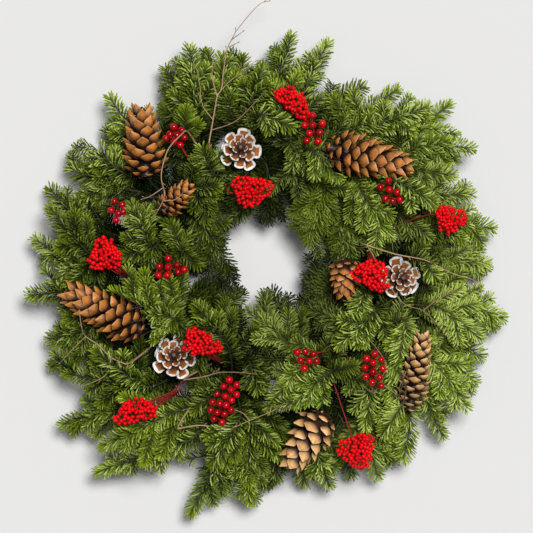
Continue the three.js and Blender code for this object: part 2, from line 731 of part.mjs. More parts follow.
function addTwig(name, { z, lines }) {
  const node = `twig_${name}`;
  const shells = [];
  const main = [];
  lines.forEach((plan, n) => {
    const last = plan.length - 1;
    const line = plan.map(([x, y], i) => V(x, y, lerp(z[0], z[1], i / last)));
    if (n > 0) joinTo(main, line);
    liftClear(n > 0 ? line.slice(1) : line, TWIG, node);
    main.push(...line);
    const thick = n > 0 ? TWIG * 0.8 : TWIG;
    shells.push(tube(line, (i) => lerp(thick, thick * 0.6, i / last), 3));
    placed.push(...chain(line, () => TWIG, node));
  });
  const from = main[0];
  const leave = from.clone().sub(main[1]).setZ(-20).normalize();
  waiting.push({ node, shells, colour: COLOURS.twig, radius: TWIG, from, leave });
}

// ---- Bunches of fir ------------------------------------------------------------------

// The gripped stems of a bunch, which point the way its shoots go.
function handleOf({ clamp, slot, shoots, node }) {
  const at = clampAngle(clamp);
  const centre = polar(slot, at, HANDLE_Z);
  const tangent = polar(1, at - 90, 0);
  const sum = shoots.reduce((m, [x, y]) => m.add(V(x, y, 0)), V(0, 0, 0));
  if (sum.divideScalar(shoots.length).sub(centre).dot(tangent) < 0) tangent.negate();
  const back = centre.clone().addScaledVector(tangent, -HANDLE_LENGTH / 2);
  const front = centre.clone().addScaledVector(tangent, HANDLE_LENGTH / 2);
  placed.push(makeRod(back, front, HANDLE_RADIUS, HANDLE_RADIUS, node));
  return { back, front, tangent };
}

// Lifts or lowers a shoot by as little as it takes to lie clear of what is there.
function placeShoot([sx, sy, sz, tx, ty, tz], node) {
  const choices = [];
  for (const tipLift of offsets(4, 5)) {
    for (const lift of offsets(4, 5)) {
      const start = V(sx, sy, sz + lift);
      const tip = V(tx, ty, tz + tipLift);
      if (tip.z < LOWEST_TIP || start.z < LOWEST_START) continue;
      const rods = chain([start, tip], (i) => (i ? TIP_RADIUS : STEM_RADIUS), node);
      const gap = Math.min(clearOfOthers(rods, node), 3.5);
      const cost = Math.abs(lift) + Math.abs(tipLift) - 40 * gap;
      choices.push({ cost, gap, start, tip, rods });
    }
  }
  const { gap, start, tip, rods } = cheapest(choices);
  if (gap < GAP) console.log("a shoot lies too near", node, tx, ty);
  placed.push(...rods);
  return { start, tip, node };
}

// The bends that a stem may take on its way from the handle to its shoot.
const STEM_BENDS = [10, 22, 36, 52].flatMap((lift) => offsets(10, 3).flatMap((swing) =>
  [12, 26, 42].flatMap((pull) => [10, 24].map((lead) => ({ lift, swing, pull, lead })))));

function placeStem(shoot, { front, tangent }) {
  const toward = direction(shoot.start, shoot.tip);
  const sideways = tangent.clone().cross(UP);
  const inside = front.clone().addScaledVector(tangent, -8);
  const choices = STEM_BENDS.map(({ lift, swing, pull, lead }) => {
    const rising = front.clone().addScaledVector(tangent, lead)
      .addScaledVector(UP, lift).addScaledVector(sideways, swing);
    const behind = shoot.start.clone().addScaledVector(toward, -pull);
    const line = curve(inside, rising, behind, shoot.start);
    const rods = chain(line, () => STEM_RADIUS, shoot.node);
    const gap = Math.min(clearOfOthers(rods, shoot.node), 1);
    return { cost: lift / 8 + Math.abs(swing) / 10 - 60 * gap, gap, line, rods };
  });
  const { gap, line, rods } = cheapest(choices);
  if (gap < GAP) console.log("a stem lies too near", shoot.node, shoot.tip.x, shoot.tip.y);
  placed.push(...rods);
  shoot.stem = line;
}

// Joints along a stem and its shoot: those of the bare stem, two for every ring of needles
// and the tip. `whorls` holds the first joint of every ring of needles.
function jointsOf({ stem, start, tip }) {
  const points = stem.slice(0, -1);
  const turns = points.map(() => 0);
  const whorls = new Set();
  const addWhorl = (middle, way) => {
    whorls.add(points.length);
    points.push(middle.clone().addScaledVector(way, -NEEDLE_FOOT / 2));
    points.push(middle.clone().addScaledVector(way, NEEDLE_FOOT / 2));
    const turn = -whorls.size * Math.PI / 3; // in the gaps of the ring before it
    turns.push(turn, turn);
  };
  const bare = stem[2];
  if (bare.distanceTo(start) > LONG_BARE_STEM) {
    addWhorl(bare.clone().lerp(start, 0.5), direction(bare, start));
  }
  const toward = direction(start, tip);
  const end = start.distanceTo(tip) - LAST_WHORL;
  const count = Math.max(1, Math.round(end / WHORL_PITCH));
  for (let i = 0; i <= count; i++) {
    addWhorl(start.clone().addScaledVector(toward, lerp(FIRST_WHORL, end, i / count)), toward);
  }
  points.push(tip.clone());
  turns.push(0);
  return { points, turns, whorls };
}

// How a needle may turn away from its neighbours: more lean in radians, swing to one side
// and share of its full length.
const NEEDLE_WAYS = [
  [0, 0, 1], [-0.2, 0, 1], [0.2, 0.3, 1], [0.2, -0.3, 1],
  [-0.3, 0.3, 0.9], [-0.3, -0.3, 0.9], [-0.5, 0, 0.75], [0.1, 0, 0.7],
];

// The tip of the first of these needles that lies clear of everything, if there is one.
function freeNeedle(foot, out, along, node, whorl) {
  const over = along.clone().cross(out);
  const isOwn = (o) => o.part === whorl || (o.node === node && o.part === node);
  for (const [more, swing, share] of NEEDLE_WAYS) {
    const lean = degToRad(NEEDLE_LEAN) + more;
    const way = out.clone().multiplyScalar(Math.sin(lean))
      .addScaledVector(along, Math.cos(lean)).addScaledVector(over, swing).normalize();
    const tip = foot.clone().addScaledVector(way, NEEDLE * share);
    const rod = makeRod(foot.clone().addScaledVector(way, 1.5), tip, 1.7, 0.4, node, whorl);
    if (tip.z < LOWEST_NEEDLE || clearance([rod], isOwn) < GAP + 0.15) continue;
    placed.push(rod);
    return tip;
  }
  return null;
}

function shootShell(shoot, index) {
  const { points, turns, whorls } = jointsOf(shoot);
  const last = points.length - 1;
  const radius = (i) => lerp(STEM_RADIUS, TIP_RADIUS, i / last);
  const twist = (i) => turns[i] - (index % 2) * Math.PI / 3;
  const spike = (i, foot, out, along) => (whorls.has(i)
    ? freeNeedle(foot, out, along, shoot.node, `${shoot.node}_${index}_${i}`) : null);
  return tube(points, radius, 3, { twist, spike, pointed: true });
}

function addBunch({ node, handle, shoots }) {
  const grip = tube([handle.back, handle.front], () => HANDLE_RADIUS, 6);
  addNode(node, [grip, ...shoots.map(shootShell)], COLOURS.fir);
}

// ---- The wreath ----------------------------------------------------------------------
// The ring and the handles come first, then what is seen from the front, then the stems and
// wires that have to find their way between them, and last the needles that fill the gaps.

addRing();

const bunches = [
  ...OUTER_BUNCHES.map((b) => ({ ...b, slot: OUTER_SLOT, node: `fir_bunch_rim_${b.clamp + 1}` })),
  ...INNER_BUNCHES.map((b) => ({ ...b, slot: INNER_SLOT, node: `fir_bunch_face_${b.clamp + 1}` })),
];
for (const bunch of bunches) bunch.handle = handleOf(bunch);

for (const [name, spec] of Object.entries(BROWN_CONES)) {
  addCone(`pine_cone_${name}`, spec, CLOSED, COLOURS.cone);
}
for (const [name, spec] of Object.entries(FROSTED_CONES)) {
  addCone(`frosted_cone_${name}`, spec, OPEN, COLOURS.frost);
}

let seed = 11;
for (const [name, spec] of Object.entries(GLOSSY_SPRAYS)) {
  addSpray(GLOSSY, name, spec, spec.at, seed);
  seed += 1;
}
for (const [name, spec] of Object.entries(PEPPER_SPRAYS)) {
  addSpray(PEPPER, name, spec, pepperPlaces(spec, seed), seed);
  seed += 1;
}
for (const [name, spec] of Object.entries(TWIGS)) addTwig(name, spec);

for (const bunch of bunches) {
  bunch.shoots = bunch.shoots.map((spec) => placeShoot(spec, bunch.node));
}
for (const bunch of bunches) {
  for (const shoot of bunch.shoots) placeStem(shoot, bunch.handle);
}
for (const piece of waiting) piece.shells.push(tube(wayDown(piece), () => piece.radius, 3));

for (const bunch of bunches) addBunch(bunch);
for (const { node, shells, colour } of waiting) addNode(node, shells, colour);

export default wreath;
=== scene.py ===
# %% [markdown]
# # A fresh evergreen wreath
#
# The wreath lies on its back on a pale floor and the camera looks straight down on it.
# The frame is loaded first: a wire clamp ring, bunches of fir held in its clamps, cones,
# berries and twigs, each a plain solid at its real size. Every solid is then replaced by
# a finer piece that keeps its form and its place. All lengths are in metres, in the
# frame's own axes: +Y is the top of the wreath and +Z is its front.

# %% Load the frame
import math
import random

import bpy
import numpy as np
from mathutils import Matrix, Vector


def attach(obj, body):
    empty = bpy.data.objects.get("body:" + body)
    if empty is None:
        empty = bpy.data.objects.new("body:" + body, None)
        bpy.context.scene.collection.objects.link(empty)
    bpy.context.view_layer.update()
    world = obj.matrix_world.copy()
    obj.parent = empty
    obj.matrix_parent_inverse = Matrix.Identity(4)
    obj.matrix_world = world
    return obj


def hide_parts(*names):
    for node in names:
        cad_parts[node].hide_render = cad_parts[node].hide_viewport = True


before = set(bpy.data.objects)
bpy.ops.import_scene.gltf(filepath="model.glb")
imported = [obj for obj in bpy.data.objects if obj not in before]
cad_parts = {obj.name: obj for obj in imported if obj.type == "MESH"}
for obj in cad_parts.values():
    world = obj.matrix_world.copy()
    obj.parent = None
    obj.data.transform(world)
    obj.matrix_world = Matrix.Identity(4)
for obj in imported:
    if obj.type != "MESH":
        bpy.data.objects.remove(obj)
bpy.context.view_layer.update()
print("solids in the frame:", len(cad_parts))

# %% [markdown]
# ## Camera, floor and light
#
# The photograph looks at the wreath from straight above, so the camera hangs over it and
# looks down. A long lens, far away, keeps the near cones from looking larger than the
# far fir tips. The floor is one pale sheet with a soft mottle. The light is a soft
# one from high at the upper right, a weak wider one from the other side and a pale sky. A
# studio would use large soft boxes for it. Two distant lights do the same here and fall
# evenly on the whole floor, and so wide a light leaves hardly any shadow on it.

# %% Camera
MM = 0.001
CAMERA_HEIGHT = 6.0
VIEW_MIDDLE = Vector((-1.4 * MM, -6.0 * MM))
VIEW_WIDTH = 0.657
VIEW_LEVEL = 60 * MM

scene = bpy.context.scene
camera = bpy.data.cameras.new("camera")
camera.lens = camera.sensor_width * (CAMERA_HEIGHT - VIEW_LEVEL) / VIEW_WIDTH
camera_object = bpy.data.objects.new("camera", camera)
camera_object.location = (VIEW_MIDDLE.x, VIEW_MIDDLE.y, CAMERA_HEIGHT)
scene.collection.objects.link(camera_object)
scene.camera = camera_object
print("lens in mm:", round(camera.lens, 1))

# %% Lights and sky
def distant_light(name, place, strength, softness, colour):
    """A light that falls the same on the whole floor; softness is its width in the sky."""
    light = bpy.data.lights.new(name, "SUN")
    light.energy = strength
    light.angle = math.radians(softness)
    light.color = colour
    lamp = bpy.data.objects.new(name, light)
    lamp.rotation_euler = (-Vector(place)).to_track_quat("-Z", "Y").to_euler()
    scene.collection.objects.link(lamp)


distant_light("key_light", (0.30, 0.40, 1.5), 3.5, 22, (1.0, 0.985, 0.955))
distant_light("fill_light", (-0.3, -0.1, 1.4), 0.2, 60, (1.0, 1.0, 1.0))
sky = bpy.data.worlds.new("studio")
sky.use_nodes = True
sky.node_tree.nodes["Background"].inputs["Color"].default_value = (1.0, 1.0, 1.0, 1)
sky.node_tree.nodes["Background"].inputs["Strength"].default_value = 0.10
scene.world = sky
scene.view_settings.view_transform = "Standard"

# %% [markdown]
# ## Small helpers for node trees
#
# Materials and Geometry Nodes trees are both made of nodes that feed each other. `put`
# adds a node, gives it its settings and plugs in what feeds it. A `Flow` is a value on
# its way from one node to the next. Sums are written with it as on paper, and each sum
# adds its node, so that a tree reads from top to bottom like a recipe.

# %% Flows
class Flow:
    """A value on its way through a node tree; a sum written with it becomes a node."""

    def __init__(self, tree, socket):
        self.tree, self.socket, self.arrow = tree, socket, socket.type == "VECTOR"

    def work(self, how, *values):
        kind = "ShaderNodeVectorMath" if self.arrow else "ShaderNodeMath"
        inputs = (0, "Scale") if how == "SCALE" else range(3)
        output = "Vector" if self.arrow and how not in ("LENGTH", "DISTANCE") else "Value"
        return step(self.tree, kind, dict(zip(inputs, values)), output, operation=how)

    def __add__(self, other):
        return self.work("ADD", self, other)

    def __sub__(self, other):
        return self.work("SUBTRACT", self, other)

    def __rsub__(self, other):
        return self.work("SUBTRACT", other, self)

    def __mul__(self, other):
        """Numbers multiply; an arrow gets longer by a number, or changes part by part."""
        longer = self.arrow and not isinstance(other, tuple)
        return self.work("SCALE" if longer else "MULTIPLY", self, other)

    def __truediv__(self, other):
        return self.work("DIVIDE", self, other)

    def __rtruediv__(self, other):
        return self.work("DIVIDE", other, self)

    def __pow__(self, power):
        return self.work("POWER", self, power)

    def __abs__(self):
        return self.work("ABSOLUTE", self)

    def __lt__(self, other):
        return self.work("LESS_THAN", self, other)

    def __gt__(self, other):
        return self.work("GREATER_THAN", self, other)

    @property
    def z(self):
        return step(self.tree, "ShaderNodeSeparateXYZ", {0: self}, "Z")


# %% Nodes
def put(tree, kind, feeds=None, **settings):
    """Adds a node. What feeds it, a flow or a plain value, goes by the input's name or number."""
    node = tree.nodes.new(kind)
    for key, value in settings.items():
        setattr(node, key, value)
    for key, value in (feeds or {}).items():
        if isinstance(value, Flow):
            tree.links.new(value.socket, node.inputs[key])
        else:
            node.inputs[key].default_value = value
    return node


def step(tree, kind, feeds=None, output=0, **settings):
    """Adds a node and goes on with one of its outputs."""
    return Flow(tree, put(tree, kind, feeds, **settings).outputs[output])


def geo(tree, kind, feeds=None, output=0, **settings):
    return step(tree, "GeometryNode" + kind, feeds, output, **settings)


def apply(how, value, *others):
    """A sum that has no sign of its own, such as SINE, MAXIMUM or LENGTH."""
    return value.work(how, value, *others)


def blend(tree, share, first, second):
    """Mixes two colours; either may be a flow or a plain colour."""
    feeds = {"Factor": share}
    for key, value in ((6, first), (7, second)):
        feeds[key] = value if isinstance(value, Flow) else (*value, 1)
    return step(tree, "ShaderNodeMix", feeds, 2, data_type="RGBA")


def ramp(value, low, high, start=0.0, end=1.0):
    """Goes from start to end while the value goes from low to high."""
    return step(value.tree, "ShaderNodeMapRange", {
        "Value": value, "From Min": low, "From Max": high, "To Min": start, "To Max": end})


# %% Groups, pieces and shapes
def new_tree(name, kind, takes, gives):
    """An empty node group, and the flows that come in, by title."""
    tree = bpy.data.node_groups.new(name, kind + "NodeTree")
    for title, socket, *value in takes:
        made = tree.interface.new_socket(title, in_out="INPUT", socket_type="NodeSocket" + socket)
        if value:
            made.default_value = value[0]
    tree.interface.new_socket(gives[0], in_out="OUTPUT", socket_type="NodeSocket" + gives[1])
    inputs = tree.nodes.new("NodeGroupInput").outputs
    return tree, {title: Flow(tree, inputs[title]) for title, *_ in takes}


def run_tree(name, mesh, tree, values):
    """Runs a Geometry Nodes tree on a mesh and returns the result as a plain piece."""
    source = bpy.data.objects.new(name + "_lines", mesh)
    scene.collection.objects.link(source)
    modifier = source.modifiers.new("make", "NODES")
    modifier.node_group = tree
    for item in tree.interface.items_tree:
        if item.in_out == "INPUT" and item.name in values:
            modifier[item.identifier] = values[item.name]
    graph = bpy.context.evaluated_depsgraph_get()
    made = bpy.data.meshes.new_from_object(
        source.evaluated_get(graph), preserve_all_data_layers=True, depsgraph=graph)
    made.name = name
    source.modifiers.remove(modifier)
    bpy.data.objects.remove(source)
    piece = bpy.data.objects.new(name, made)
    scene.collection.objects.link(piece)
    return piece


def hand_over(piece, node):
    """Puts a finished piece in the place of its solid and returns its number of triangles."""
    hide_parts(node)
    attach(piece, "root")
    return sum(len(p.vertices) - 2 for p in piece.data.polygons)


def shape_of(name, points, faces, edges=(), **numbers):
    """An object that trees read: points, faces or edges, and numbers on the points."""
    mesh = bpy.data.meshes.new(name)
    mesh.from_pydata(points, edges, faces)
    for key, values in numbers.items():
        mesh.attributes.new(key, "FLOAT", "POINT").data.foreach_set("value", values)
    mesh.update()
    return bpy.data.objects.new(name, mesh)


# %% [markdown]
# ## Effects that several finishes share
#
# Fir needles, bark, cone scales and berries differ in colour, but all of them are a
# little uneven. Two effects are built once as groups. *Uneven colour* shifts a colour
# from one needle or scale to the next and blotches it. *Fine grain* gives thin streaks
# and dimples for roughness and bump.

# %% Shared effects
def attribute(tree, name):
    return step(tree, "ShaderNodeAttribute", output="Fac", attribute_name=name)


def place_on(tree):
    return step(tree, "ShaderNodeTexCoord", output="Object")


def make_uneven_colour():
    tree, takes = new_tree("uneven_colour", "Shader", [
        ("Dark", "Color"), ("Light", "Color"), ("Blotch size", "Float", 12 * MM),
        ("Blotch strength", "Float", 0.4)], ("Color", "Color"))
    cloud = step(tree, "ShaderNodeTexNoise", {
        "Vector": place_on(tree), "Scale": 1.0 / takes["Blotch size"], "Detail": 3.0}, "Fac")
    share = attribute(tree, "tint") + (cloud - 0.5) * takes["Blotch strength"] * 2.0
    put(tree, "NodeGroupOutput", {0: blend(tree, share, takes["Dark"], takes["Light"])})
    return tree


def make_fine_grain():
    tree, takes = new_tree("fine_grain", "Shader", [
        ("Grain size", "Float", 1 * MM), ("Detail", "Float", 4.0)], ("Value", "Float"))
    put(tree, "NodeGroupOutput", {0: step(tree, "ShaderNodeTexNoise", {
        "Vector": place_on(tree), "Scale": 1.0 / takes["Grain size"], "Detail": takes["Detail"],
        "Roughness": 0.6}, "Fac")})
    return tree


UNEVEN_COLOUR = make_uneven_colour()
FINE_GRAIN = make_fine_grain()
print("shared effects:", UNEVEN_COLOUR.name, "and", FINE_GRAIN.name)


# %% The base of every finish
def finish(name, dark, light, blotch, strength, grain, rough, bump, paint=None, **sockets):
    """A material with uneven colour, grain in its roughness and a fine bump.

    paint may work on the colour, and sockets are plain values of the shader itself."""
    material = bpy.data.materials.new(name)
    material.use_nodes = True
    tree = material.node_tree
    colour = step(tree, "ShaderNodeGroup", {
        "Dark": (*dark, 1), "Light": (*light, 1), "Blotch size": blotch * MM, "Blotch strength": strength},
        node_tree=UNEVEN_COLOUR)
    grit = step(tree, "ShaderNodeGroup", {"Grain size": grain * MM}, node_tree=FINE_GRAIN)
    relief = step(tree, "ShaderNodeBump", {"Height": grit, "Strength": bump[0], "Distance": bump[1] * MM})
    skin = tree.nodes["Principled BSDF"].inputs
    for key, flow in (("Base Color", paint(tree, colour) if paint else colour),
                      ("Roughness", ramp(grit, 0.0, 1.0, *rough)), ("Normal", relief)):
        tree.links.new(flow.socket, skin[key])
    for key, value in sockets.items():
        skin[key.replace("_", " ")].default_value = value
    return material


# %% [markdown]
# ## Where everything grows
#
# The bunches lie in the clamps of the ring and their shoots fan out from there. The plan
# of the wreath is a list of where each shoot's needles begin and where its tip
# is. It could be guessed from the finished solids alone, but a list says which tip
# belongs to which stem. Heights come from the solids, because each shoot was lifted or
# lowered there until it lay clear of the others.

# %% The plan of the bunches
RING_MIDDLE = Vector((-2 * MM, -14 * MM, 0))
RING_INNER = 131 * MM
RING_OUTER = 159 * MM
RING_WIRE = 2.1 * MM
CLAMPS = 16
FIRST_CLAMP = math.radians(130)
HANDLE_LENGTH = 44 * MM
HANDLE_LEVEL = 10.1 * MM
RIM_SLOT = 152.4 * MM
FACE_SLOT = 140 * MM

# Each shoot: needles begin (x, y), tip (x, y), in millimetres from the ring's middle.
RIM_SHOOTS = {
    1: [(-93, 199, -127, 257), (-87, 212, -95, 283), (-72, 208, -71, 278), (-100, 160, -98, 206)],
    2: [(-50, 214, -55, 274), (-34, 214, -28, 272), (-20, 203, -4, 260), (7, 212, 33, 299)],
    3: [(46, 221, 79, 289), (69, 205, 125, 232), (85, 172, 140, 189), (14, 190, 42, 250)],
    4: [(118, 197, 167, 229), (146, 187, 205, 208), (176, 172, 231, 212)],
    5: [(187, 158, 260, 153), (183, 128, 236, 121), (159, 113, 212, 81), (204, 99, 260, 97)],
    6: [(218, 62, 285, 54), (224, 17, 279, 11), (196, 14, 210, -9)],
    7: [(230, -32, 298, -58), (214, -43, 269, -85), (226, -77, 271, -107)],
    8: [(216, -94, 262, -139), (204, -104, 251, -171), (196, -150, 221, -207)],
    9: [(178, -176, 169, -235), (160, -194, 152, -244), (125, -205, 139, -258), (168, -160, 139, -203)],
    10: [(101, -203, 106, -256), (60, -215, 80, -269), (42, -210, 47, -266)],
    11: [(7, -204, 14, -261), (-20, -196, -21, -289), (-40, -212, -50, -273), (-32, -180, -71, -241)],
    12: [(-52, -215, -96, -303), (-93, -206, -214, -248), (-124, -176, -208, -216)],
    13: [(-180, -168, -257, -189), (-149, -141, -253, -123), (-166, -130, -214, -92)],
    14: [(-214, -96, -271, -118), (-212, -64, -273, -84), (-235, -25, -298, -28)],
    15: [(-226, 2, -290, 45), (-216, 22, -271, 85), (-228, 60, -271, 108)],
    16: [(-198, 110, -247, 132), (-186, 130, -221, 163), (-161, 169, -196, 221), (-172, 146, -200, 182)],
}
FACE_SHOOTS = {
    2: [(-30, 110, -32, 64), (-8, 196, 38, 177), (2, 128, 4, 58), (-66, 122, -80, 158)],
    4: [(72, 101, 50, 33), (34, 120, 85, 86), (30, 160, 62, 118), (57, 150, 93, 112)],
    5: [(104, 128, 156, 39), (94, 70, 106, 4), (165, 72, 205, 40)],
    7: [(80, -20, 46, -7), (123, -22, 108, -60), (97, -62, 52, -44), (134, -49, 84, -92)],
    8: [(172, -58, 160, -128), (130, -112, 122, -197), (120, -90, 110, -150)],
    10: [(60, -98, 20, -138), (79, -123, 32, -167), (32, -65, 4, -18), (18, -79, -26, -44)],
    12: [(-20, -110, -8, -150), (-66, -62, -24, -22), (-50, -84, -90, -36), (-50, -139, -92, -172)],
    14: [(-112, -56, -194, -20), (-96, -28, -48, -34), (-96, -52, -72, -106)],
    16: [(-78, 58, -40, 0), (-140, 30, -168, 90), (-104, 24, -120, 68), (-86, 104, -72, 60)],
}


def plan(x, y, z=0.0):
    """A place on the plan, given in millimetres from the middle of the ring."""
    return Vector((x * MM, y * MM, z * MM)) + RING_MIDDLE


def polar(radius, angle, z=0.0):
    return Vector((radius * math.cos(angle), radius * math.sin(angle), z)) + RING_MIDDLE


# %% Reading the solids
UP = Vector((0, 0, 1))
STEM = 2.2 * MM


def corners_of(node):
    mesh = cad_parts[node].data
    corners = np.empty(len(mesh.vertices) * 3)
    mesh.vertices.foreach_get("co", corners)
    return np.unique(corners.reshape(-1, 3).round(6), axis=0)


def height_at(corners, spot, reach):
    """The mean height of a solid's corners within reach of a spot, or of the nearest one."""
    away = np.hypot(corners[:, 0] - spot.x, corners[:, 1] - spot.y)
    return float(corners[away < max(reach, away.min() + 1e-5), 2].mean())


def bezier(a, b, c, d, t):
    s = 1 - t
    return a * s ** 3 + b * (3 * s * s * t) + c * (3 * s * t * t) + d * t ** 3


def misfit(corners, points, radius):
    """How far the solid's three nearest corners are from lying round each point."""
    total = 0.0
    for point in points:
        away = np.linalg.norm(corners - np.array(point), axis=1)
        total += float(np.abs(np.partition(away, 2)[:3] - radius).sum())
    return total


def stem_curve(start, tip, front, tangent, corners):
    """The one of the tried curves, from clamp to shoot, that the solid's stem follows."""
    toward, sideways = (tip - start).normalized(), tangent.cross(UP)
    near = corners[np.linalg.norm(corners - np.array(start), axis=1) < 0.2]
    tried = []
    for lift in (10, 22, 36, 52):
        for swing in (0, 10, -10, 20, -20, 30, -30):
            for pull in (12, 26, 42):
                for lead in (10, 24):
                    b = front + (tangent * lead + UP * lift + sideways * swing) * MM
                    curve = (front - tangent * 8 * MM, b, start - toward * pull * MM, start)
                    thirds = [bezier(*curve, 1 / 3), bezier(*curve, 2 / 3)]
                    tried.append((misfit(near, thirds, STEM), len(tried), curve))
    return min(tried)


# %% Read every bunch
# The needles stand this high over a shoot. The highest one arches up to the solid's top.
NEEDLE_TOP = 11 * MM


def read_bunch(kind, clamp, slot, shoots):
    node = f"fir_bunch_{kind}_{clamp}"
    corners, angle = corners_of(node), FIRST_CLAMP - (clamp - 1) * 2 * math.pi / CLAMPS
    tangent = Vector((math.sin(angle), -math.cos(angle), 0))
    centre = polar(slot, angle, HANDLE_LEVEL)
    middle = sum((plan(s[0], s[1]) for s in shoots), Vector()) / len(shoots)
    if (middle - centre).xy.dot(tangent.xy) < 0:
        tangent.negate()
    front = centre + tangent * HANDLE_LENGTH / 2
    read = []
    for sx, sy, tx, ty in shoots:
        start, tip = plan(sx, sy), plan(tx, ty)
        tip.z = height_at(corners, tip, 0.5 * MM)
        first = start + (tip - start).normalized() * 2.5 * MM
        start.z = height_at(corners, first, 4.5 * MM)
        miss, _, curve = stem_curve(start, tip, front, tangent, corners)
        read.append({"start": start, "tip": tip, "curve": curve, "miss": miss, "rise": 0.0})
    highest = max(read, key=lambda shoot: shoot["start"].z + shoot["tip"].z)
    level = (highest["start"].z + highest["tip"].z) / 2
    highest["rise"] = max(0.0, float(corners[:, 2].max()) - level - NEEDLE_TOP)
    return {"node": node, "back": front - tangent * HANDLE_LENGTH, "front": front,
            "tangent": tangent, "shoots": read}


bunches = [read_bunch("rim", k, RIM_SLOT, s) for k, s in RIM_SHOOTS.items()]
bunches += [read_bunch("face", k, FACE_SLOT, s) for k, s in FACE_SHOOTS.items()]
misses = sorted(s["miss"] / MM / 6 for b in bunches for s in b["shoots"])
print("bunches:", len(bunches), "shoots:", len(misses), "typical and largest miss in mm:",
      round(misses[len(misses) // 2], 2), round(misses[-1], 2))

# %% [markdown]
# ## Cones, berries and twigs in the plan
#
# These are read in the same way: plan places from a list, heights from the solids. They
# come before the needles are grown, because needles must leave the cones and berries
# showing.

# %% The plan of the cones
# Cones: base x, y, z, tip x, y, z and width, in millimetres.
BROWN_CONES = {
    "upper_left": (-147, 115, 76, -155, 211, 70, 58),
    "top_right": (72, 155, 84, 183, 128, 78, 58),
    "lower_left": (-148, -73, 78, -254, -19, 64, 58),
    "small_left": (-128, 74, 96, -90, 111, 96, 37),
    "centre_right": (98, 18, 92, 95, -33, 76, 42),
    "lower_right": (176, -172, 70, 194, -69, 80, 42),
    "bottom": (74, -172, 84, 24, -243, 68, 57),
}
FROSTED_CONES = {
    "top": (-32, 150, 44, -31, 155, 96, 54),
    "lower_left": (-113, -106, 42, -113, -100, 94, 56),
    "right": (163, -6, 42, 169, -6, 94, 52),
}

# %% The plan of the berries
# Sprays: the stalk from its far end to the end that turns down to the ring.
GLOSSY_STALKS = {
    "upper_left": [(-110, 180), (-106, 160)],
    "top": [(56, 188), (60, 168)],
    "left": [(-181, 85), (-184, 70)],
    "inner_left": [(-128, 2), (-108, 8)],
    "right": [(149, 108), (149, 94)],
    "bottom": [(-44, -138), (-52, -158), (-61, -176)],
    "lower": [(41, -108), (49, -103)],
    "lower_right": [(132, -106), (131, -132)],
}
GLOSSY_BERRIES = {
    "upper_left": [(-113, 179), (-103, 175), (-118, 170), (-109, 169), (-123, 165), (-100, 166), (-113, 161),
                   (-105, 157)],
    "top": [(57, 193), (47, 181), (69, 183), (57, 181), (53, 171), (66, 172), (50, 162), (64, 161)],
    "left": [(-186, 88), (-176, 84), (-190, 77), (-181, 73), (-175, 75), (-184, 65)],
    "inner_left": [(-120, 18), (-131, 8), (-109, 10), (-120, 7), (-132, -3), (-121, -3), (-108, 1),
                   (-100, 4)],
    "right": [(150, 113), (140, 105), (151, 102), (161, 99), (146, 91), (155, 88), (164, 90)],
    "bottom": [(-45, -131), (-36, -137), (-52, -139), (-43, -143), (-60, -148), (-36, -149), (-50, -151),
               (-42, -156), (-66, -158), (-57, -160), (-49, -162), (-68, -168), (-60, -171), (-51, -173),
               (-43, -168), (-64, -179), (-54, -183)],
    "lower": [(38, -97), (48, -96), (58, -99), (42, -107), (53, -108), (62, -108), (47, -117)],
    "lower_right": [(133, -99), (123, -105), (141, -106), (131, -110), (121, -116), (143, -117), (131, -121),
                    (122, -127), (139, -128), (130, -134), (141, -138)],
}
PEPPER_STALKS = {
    "top": [(20, 222), (34, 212), (48, 196)],
    "inner_top": [(2, 108), (-18, 100), (-42, 98)],
    "left": [(-212, 34), (-198, 20), (-178, 2)],
    "inner_left": [(-98, -72), (-82, -84), (-66, -98)],
    "right": [(240, 62), (224, 66), (206, 72)],
    "inner_right": [(142, -18), (130, -6), (126, 18)],
    "lower_left": [(-182, -172), (-158, -166), (-128, -156)],
    "bottom": [(112, -238), (110, -218), (104, -198)],
}
# The cluster on each stalk: middle x, y, half length, half width and the turn in degrees.
PEPPER_CLUSTERS = {
    "top": (34, 210, 28, 14, -45),
    "inner_top": (-18, 101, 25, 19, 5),
    "left": (-198, 22, 21, 21, 0),
    "inner_left": (-80, -85, 24, 17, -15),
    "right": (227, 66, 20, 17, 0),
    "inner_right": (129, -3, 25, 18, -25),
    "lower_left": (-160, -170, 27, 15, 15),
    "bottom": (112, -218, 23, 22, 0),
}
# Red stems of the small berries: where they leave the cluster and where they dip under the needles, x, y.
RED_BUNDLES = {
    "lower_left": (-148, -165, -103, -144),
    "inner_left": (-74, -92, -56, -111),
    "left": (-190, 12, -168, -7),
    "inner_right": (131, 6, 127, 30),
}

